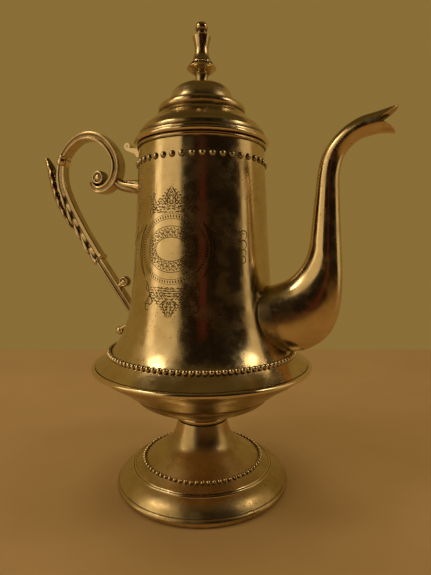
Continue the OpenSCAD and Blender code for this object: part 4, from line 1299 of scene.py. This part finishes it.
    def build_lower(self) -> None:
        """Builds the lower bar, its small scroll, the pad on the skirt and the tail with its bud."""
        foot, run = self.bar_foot, self.bar_foot - self.sleeve_end
        run = run / np.linalg.norm(run)
        left = np.array([-run[1], run[0]])
        path = curve([self.sleeve_end - self.solder * run, mix(self.sleeve_end, foot, 0.33),
                      mix(self.sleeve_end, foot, 0.66), foot + [-2.2, 3]], 12)
        section, n = self.strap_section(), len(path)
        thick = self.bar_t * along_values([1, 0.98, 0.84], n)
        self.place(sweep("handle_lower_strap", path, section, thick, np.full(n, self.bar_w),
                         hollow=self.groove_darkening(section, n) * 0.85), Slot.CAST, "handle_lower_bar")
        neck, r = mix(self.sleeve_end, foot, 0.47), 3.6
        centre = neck + (self.bar_t / 2 + r + 1) * left
        ridge = np.array([[0, 0.1], [0.3, 0.16], [0.42, 0.7], [0.5, 1.1],
                          [0.58, 0.9], [0.7, 0.2], [0.88, 0.25], [1.0, 1.0]]) * [r, 1]
        disc = button("small_scroll_disc", tuple(centre), (self.bar_w - 0.4) / 2, curve(ridge, 3))
        stub = curve([neck + (self.bar_t / 2 - self.solder) * left, mix(neck, centre, 0.75), centre], 5)
        stalk = sweep("small_scroll_stalk", stub, self.oval_section(24), along_values([4.2, 5], len(stub)),
                      np.full(len(stub), self.bar_w - 1))
        self.place(joined("handle_small_scroll", [disc, stalk]), Slot.BRIGHT, "handle_lower_scroll")
        self.place(self.pad(), Slot.CAST, "handle_lower_pad")
        bud = foot + [-15.2, -9.4]
        path = curve([foot + [-3.2, 1.8], foot + [-4.4, -2.4], bud + [6, 4], bud + [1.6, 1.8]], 10)
        stalk = sweep("tail_stalk", path, self.oval_section(24), along_values([4.4, 2.6], len(path)),
                      along_values([self.bar_w - 0.6, 4.6], len(path)))
        a = np.linspace(0, math.pi / 2, 9)
        dome = np.stack([2.9 * np.sin(a), 2.5 * (1 - np.cos(a)) * 0.92], 1)
        head = button("tail_bud", tuple(bud), 2.5, dome, 28)
        self.place(joined("handle_tail_and_bud", [stalk, head]), Slot.BRIGHT, "handle_tail")

    def pad(self, radius: float = 7.0, thick: float = 2.4, sides: int = 48) -> bpy.types.Object:
        """Builds the round pad square to the skirt; its back ring lies just under the skirt's face."""
        slope = POT.body_slope(self.bar_foot_z)
        axis = np.array([-1, 0, slope]) / math.hypot(1, slope)
        up = np.array([slope, 0, 1]) / math.hypot(1, slope)
        a = (np.arange(sides) * FULL_TURN / sides)[None, :, None]
        profile = softened([[0, thick], [radius * 0.5, thick], [radius - 0.7, thick - 0.25],
                            [radius, thick - 1.2], [radius, -1.0]], 0.8, 4)
        centre = np.array([self.bar_foot[0], 0, self.bar_foot[1]])
        side = np.cross(up, axis)
        spokes = np.cos(a) * up + np.sin(a) * side
        rings = centre + profile[:, None, 1:] * axis + profile[:, None, :1] * spokes
        last = rings[-1]
        last[:, 0] = -(np.sqrt(POT.body_r(last[:, 2]) ** 2 - last[:, 1] ** 2) - 0.3)
        back = np.repeat(last.mean(0)[None, None], sides, 1)
        rings = np.concatenate([rings, back])
        faces = grid_faces(len(rings), sides, False, True)
        return mesh_object("handle_skirt_pad", rings.reshape(-1, 3), faces)

    def build(self) -> None:
        """Builds the handle from its scroll down to its tail."""
        self.build_scroll()
        self.build_arm()
        self.build_shaft(self.build_band())
        self.build_leaf()
        self.build_lower()


# ---------- lid, hinge and finial ----------


@dataclass
class Lid(SubAssembly):
    """The stepped lid with its torus roll and dome, its rim and the bezel that drops into the mouth."""

    roll_r: float = 26.9
    dome_r: float = 20.6
    dome_h: float = 12.1
    bezel_gap: float = 0.9
    bezel_h: float = 4.0
    screw_r: float = 1.6

    def outline(self, steps: int = 7) -> Array:
        """Gives the lid's outer face up to the dome: two shallow steps, a sweeping cove, and the roll."""
        r, top, roll, z = POT.lid_r, POT.rim_top_z, self.roll_r, POT.roll_z
        return np.vstack([
            curve([[r - 1, top], [r - 1.3, top + 1.2], [r - 2.7, top + 2.2]], steps),
            curve([[r - 2.8, top + 2.3], [r - 3.3, top + 4.5], [r - 5, top + 6.7]], steps),
            curve([[r - 5.1, top + 6.8], [r - 6.7, top + 8.6], [mix(r - 6.7, roll, 0.65), z - 9.9],
                   [roll + 0.7, z - 7.5], [roll - 0.8, z - 6.2]], steps),
            curve([[roll - 0.7, z - 6], [roll, z - 4.6], [roll, z - 3.2], [roll - 1.1, z - 1.6],
                   [self.dome_r + 0.7, z]], steps)])

    def dome(self, steps: int = 8) -> Array:
        """Gives the dome's outer face from the roll to the hole for the finial's screw."""
        r, h, z = self.dome_r, self.dome_h, POT.roll_z
        face = curve([[r, z + 0.2], [r - 0.6, z + 0.19 * h], [r - 1.4, z + 0.37 * h], [r - 2.6, z + 0.58 * h],
                      [r - 4.5, z + 0.77 * h], [r * 0.6, z + 0.92 * h], [r * 0.3, POT.dome_top_z]],
                     steps)
        return np.vstack([face, [[self.screw_r + 0.1, POT.dome_top_z]]])

    def build(self) -> None:
        """Builds the lid's pieces."""
        p, dome, top = POT, self.dome(), POT.rim_top_z
        inner = np.array([[self.dome_r - p.wall, p.roll_z - 3], [self.roll_r - 2.6, p.roll_z - 6.4],
                          [p.lid_r - 9, top + 6.4], [p.lid_r - 4.6, top + 2], [p.lid_r - 4.6, top]])
        profile = np.vstack([self.outline(), dome, moved(dome, p.wall)[::-1], softened(inner, 2.0, 4)])
        shell = lathe("lid_stepped_shell", profile, closed=True, segments=LID_SEGMENTS)
        self.place(shell, Slot.SHEET, "lid_shell")
        rim = rounded_ring(p.mouth_r - 3, p.lid_r, p.lid_z, top)
        self.place(lathe("lid_rim_edge", rim, closed=True, segments=LID_SEGMENTS), Slot.BRIGHT, "lid_rim")
        r, z = p.mouth_r - p.wall - self.bezel_gap, p.lid_z
        bezel = [[r - p.wall, z], [r - p.wall, z - self.bezel_h], [r, z - self.bezel_h], [r, z]]
        self.place(lathe("lid_bezel_ring", softened(bezel, 0.3, 3), closed=True), Slot.SHEET, "lid_bezel")


@dataclass
class Finial(SubAssembly):
    """The turned finial: a flared base with a beaded disc, a waisted column and an acorn tip."""

    disc_r: float = 9.1
    disc_t: float = 1.9
    neck_r: float = 3.9
    bead_d: float = 1.4

    def build(self) -> None:
        """Builds the finial's pieces, from the dome upwards."""
        z, disc_z, bead_r = POT.dome_top_z, POT.dome_top_z + 10.0, self.disc_r - 2.2
        top = disc_z + self.disc_t
        base = curve([[5.4, z], [4.9, z + 0.9], [self.neck_r, z + 2.6],
                      [self.neck_r + 0.4, z + 6.4], [self.disc_r - 2, disc_z - 1.6],
                      [self.disc_r, disc_z], [self.disc_r - 0.8, disc_z + 1.3]], 7)
        base = np.vstack([[[0, z]], base, [[bead_r - 0.2, top], [0, top]]])
        self.place(lathe("finial_flared_base", base, segments=96), Slot.TURNED, "finial_base")
        self.place(self.beads(bead_r, top + 0.6), Slot.BRIGHT, "finial_beading")
        foot, lip = bead_r - 0.4, POT.tip_z - 8.8
        column = curve([[foot, top], [foot - 0.1, top + 1.8], [5.2, top + 4.4], [4.5, mix(top, lip, 0.42)],
                        [4.3, mix(top, lip, 0.62)], [4.7, lip - 4], [5.7, lip]], 7)
        column = np.vstack([[[0, top]], column, [[4.7, lip], [3.1, lip - 0.8], [0, lip - 0.8]]])
        self.place(lathe("finial_waisted_column", column, segments=96), Slot.TURNED, "finial_column")
        z0, tip = POT.tip_z - 9.6, POT.tip_z
        acorn = curve([[2.8, z0], [3, z0 + 1.8], [3.4, z0 + 3], [2.9, z0 + 4.2], [3.7, z0 + 5.6],
                       [3.9, z0 + 7.2], [3.1, z0 + 8.8], [1.5, tip - 0.15], [0, tip]], 7)
        self.place(lathe("finial_acorn_tip", np.vstack([[[0, z0]], acorn]), segments=80),
                   Slot.TURNED, "finial_tip")
        self.keep("finial_screw", "finial_washer", "finial_nut", slot=Slot.STEEL)

    def beads(self, ring_r: float, z: float, sides: int = 10, rings: int = 6) -> bpy.types.Object:
        """Builds the fine row of beads on the disc, each bead a small sphere.

        Args:
            ring_r: radius of the row.
            z: height of the beads' middles.
            sides: steps round a bead.
            rings: rings from a bead's lowest to its highest point.

        Returns:
            The row as one object.
        """
        count = math.floor(FULL_TURN * ring_r / (self.bead_d + 0.1))
        u, v = np.arange(sides) * FULL_TURN / sides, np.linspace(0, math.pi, rings)[:, None]
        r = self.bead_d / 2
        x, y, h = ring_r + r * np.sin(v) * np.cos(u), r * np.sin(v) * np.sin(u), z + r * np.cos(v) + 0 * u
        turn = (np.arange(count) * FULL_TURN / count)[:, None, None]
        cos, sin = np.cos(turn), np.sin(turn)
        points = np.stack([x * cos - y * sin, x * sin + y * cos, h + 0 * turn], -1)
        one = grid_faces(rings, sides, False, True)[:, ::-1]
        faces = one[None] + (np.arange(count) * rings * sides)[:, None, None]
        hollow = np.repeat(np.clip(0.5 - np.cos(v) + 0 * u, 0, 1)[None], count, 0)
        return mesh_object("finial_bead_row", points.reshape(-1, 3), faces.reshape(-1, 4), hollow)


@dataclass
class Hinge(SubAssembly):
    """The lid's hinge: its leaves and pin stay as the frame has them, with finishes of their own."""

    def build(self) -> None:
        """Dresses the hinge's frame nodes."""
        self.keep("hinge_body_leaf", "hinge_lid_leaf", slot=Slot.BRIGHT)
        self.keep("hinge_pin", slot=Slot.STEEL)


# ---------- studio ----------


@dataclass(frozen=True)
class StudioColours:
    """Colours of the floor, the surroundings, the lamps and the flags."""

    floor: tuple[float, float, float] = (0.60, 0.43, 0.245)
    surround: tuple[float, float, float] = (0.252, 0.157, 0.039)
    lamp: tuple[float, float, float] = (1.0, 0.80, 0.50)
    flag: tuple[float, float, float] = (0.010, 0.006, 0.003)
    warm_flag: tuple[float, float, float] = (0.065, 0.014, 0.007)
    ceiling: tuple[float, float, float] = (0.075, 0.047, 0.012)


@dataclass
class Studio:
    """The camera, a plain pale floor, soft lamps, and dark flags that only the metal's reflections show."""

    colours: StudioColours
    turn: float = 22.5
    camera_angle: float = -65.7
    camera_place: tuple[float, float, float] = (112.7, -249.8, 148.9)
    camera_pitch: float = 85.34
    lens: float = 26.76
    lamp_distance: float = 0.95
    spot_distance: float = 1.05

    def camera(self) -> None:
        """Sets the camera a little above the pot's middle, looking slightly down."""
        data = bpy.data.cameras.new("studio_camera")
        data.sensor_width, data.lens = 36.0, self.lens
        data.clip_start, data.clip_end = 0.01, 50
        camera = bpy.data.objects.new("studio_camera", data)
        camera.location = Vector(self.camera_place) * MM
        camera.rotation_euler = (math.radians(self.camera_pitch), 0, math.radians(self.turn))
        bpy.context.scene.collection.objects.link(camera)
        bpy.context.scene.camera = camera

    def floor(self, back: float = 375.0, size: float = 3000.0) -> None:
        """Lays a plain pale floor, square to the camera, that ends some way behind the pot."""
        a = math.radians(self.turn)
        corners = np.array([[-size, -size], [size, -size], [size, back], [-size, back]])
        turned = corners @ np.array([[math.cos(a), math.sin(a)], [-math.sin(a), math.cos(a)]])
        piece = mesh_object("studio_floor", np.hstack([turned, np.zeros((4, 1))]), [[0, 1, 2, 3]])
        material = bpy.data.materials.new("pale_floor")
        material.use_nodes = True
        add = NodeMaker(material.node_tree)
        shader = material.node_tree.nodes["Principled BSDF"]
        mottle = add.noise(add("ShaderNodeTexCoord").outputs["Object"], 9.0, 4.0, 0.6)
        pale = self.colours.floor
        deeper = tuple(c * share for c, share in zip(pale, (0.93, 0.92, 0.9)))
        colour = MetalFinish.mixed(add, add.ramp(mottle, 0.3, 0.7), (*pale, 1), (*deeper, 1))
        material.node_tree.links.new(colour, shader.inputs["Base Color"])
        shader.inputs["Roughness"].default_value = 0.75
        piece.data.materials.append(material)

    def surround(self) -> None:
        """Sets a dim warm surround."""
        world = bpy.data.worlds.new("studio_surround")
        world.use_nodes = True
        world.node_tree.nodes["Background"].inputs["Color"].default_value = (*self.colours.surround, 1)
        bpy.context.scene.world = world
        bpy.context.scene.view_settings.view_transform = "Standard"

    def flag(self, name: str, start: float, end: float, rise: tuple, radius: float, colour: tuple) -> None:
        """Hangs a dark dome-shaped flag that only reflections show.

        Args:
            name: the flag's name.
            start: where it starts, in degrees round from the camera.
            end: where it ends.
            rise: its lower and upper edge, in degrees above the floor.
            radius: its distance from the pot's axis, in millimetres.
            colour: its colour.
        """
        a = np.radians(self.camera_angle + np.linspace(start, end, 25))[None, :]
        e = np.radians(np.linspace(*rise, 13))[:, None]
        points = radius * np.stack([np.cos(e) * np.cos(a), np.cos(e) * np.sin(a), np.sin(e) + 0 * a], -1)
        piece = mesh_object(name, points.reshape(-1, 3), grid_faces(13, 25, False, False))
        material = bpy.data.materials.new(name)
        material.use_nodes = True
        tree = material.node_tree
        tree.nodes.clear()
        add = NodeMaker(tree)
        glow = add("ShaderNodeEmission", {"Color": (*colour, 1), "Strength": 1.0})
        tree.links.new(glow.outputs[0], add("ShaderNodeOutputMaterial").inputs[0])
        piece.data.materials.append(material)
        piece.visible_camera = piece.visible_diffuse = piece.visible_shadow = False

    def lamp(self, name: str, angle: float, spread: float, height: float, shine: float) -> None:
        """Stands a soft upright lamp on the floor.

        Args:
            name: the lamp's name.
            angle: where it stands, in degrees round from the camera.
            spread: how wide it looks from the pot, in degrees.
            height: its height in metres.
            shine: how bright its face is.
        """
        a = math.radians(self.camera_angle + angle)
        d = self.lamp_distance
        data = bpy.data.lights.new(name, "AREA")
        data.shape, data.size, data.size_y = "RECTANGLE", 2 * d * math.tan(math.radians(spread / 2)), height
        data.energy, data.color = shine * math.pi * data.size * data.size_y, self.colours.lamp
        lamp = bpy.data.objects.new(name, data)
        lamp.location = (d * math.cos(a), d * math.sin(a), height / 2 + 0.01)
        lamp.rotation_euler = (math.pi / 2, 0, a + math.pi / 2)
        bpy.context.scene.collection.objects.link(lamp)

    def spot(self, name: str, angle: float, rise: float, size: float, shine: float) -> None:
        """Hangs a small lamp that faces the pot and gives its rolls and beads their sparkle.

        Args:
            name: the lamp's name.
            angle: where it hangs, in degrees round from the camera.
            rise: how high it hangs, in degrees.
            size: the length of its side, in metres.
            shine: how bright its face is.
        """
        a, e, d = math.radians(self.camera_angle + angle), math.radians(rise), self.spot_distance
        data = bpy.data.lights.new(name, "AREA")
        data.size, data.color = size, self.colours.lamp
        data.energy = shine * math.pi * size * size
        lamp = bpy.data.objects.new(name, data)
        lamp.location = (d * math.cos(e) * math.cos(a), d * math.cos(e) * math.sin(a), d * math.sin(e) + 0.14)
        lamp.rotation_euler = (math.pi / 2 - e, 0, a + math.pi / 2)
        bpy.context.scene.collection.objects.link(lamp)

    def overhead(self, place: tuple, size: float, watts: float) -> None:
        """Hangs a soft square lamp overhead that faces the floor.

        Args:
            place: where it hangs, in metres.
            size: the length of its side, in metres.
            watts: its power.
        """
        data = bpy.data.lights.new("overhead_soft_lamp", "AREA")
        data.size, data.energy, data.color = size, watts, self.colours.lamp
        lamp = bpy.data.objects.new("overhead_soft_lamp", data)
        lamp.location = place
        lamp.visible_glossy = False
        bpy.context.scene.collection.objects.link(lamp)

    def build(self) -> None:
        """Sets up the whole studio."""
        self.camera()
        self.floor()
        self.surround()
        self.flag("dark_front_flag", -36, 69, (0, 62), 1150, self.colours.flag)
        self.flag("warm_front_flag", -5, 6, (0, 30), 1100, self.colours.warm_flag)
        self.flag("ceiling_flag", 0, 360, (52, 89), 1250, self.colours.ceiling)
        self.lamp("left_soft_lamp", -79, 13, 1.0, 1.0)
        self.lamp("left_fill_lamp", -54, 37, 1.0, 0.44)
        self.lamp("right_soft_lamp", 83, 26, 1.0, 0.36)
        self.spot("left_high_lamp", -72, 44, 0.26, 5.0)
        self.spot("right_high_lamp", 74, 40, 0.24, 4.5)
        self.overhead((-0.25, 0.35, 1.6), 0.8, 3.0)


# ---------- the whole pot ----------


def main() -> None:
    """Builds the pot in its studio."""
    logging.basicConfig(level=logging.INFO, format="%(name)s: %(message)s")
    Studio(StudioColours()).build()
    finishes = Finishes()
    for body, parts in ((Body.POT, (Foot, BowlAndFlange, PotBody, Engraving, Spout, Handle, Hinge)),
                        (Body.LID, (Lid, Finial))):
        for part in parts:
            part(finishes, body).build()


if __name__ == "__main__":
    main()
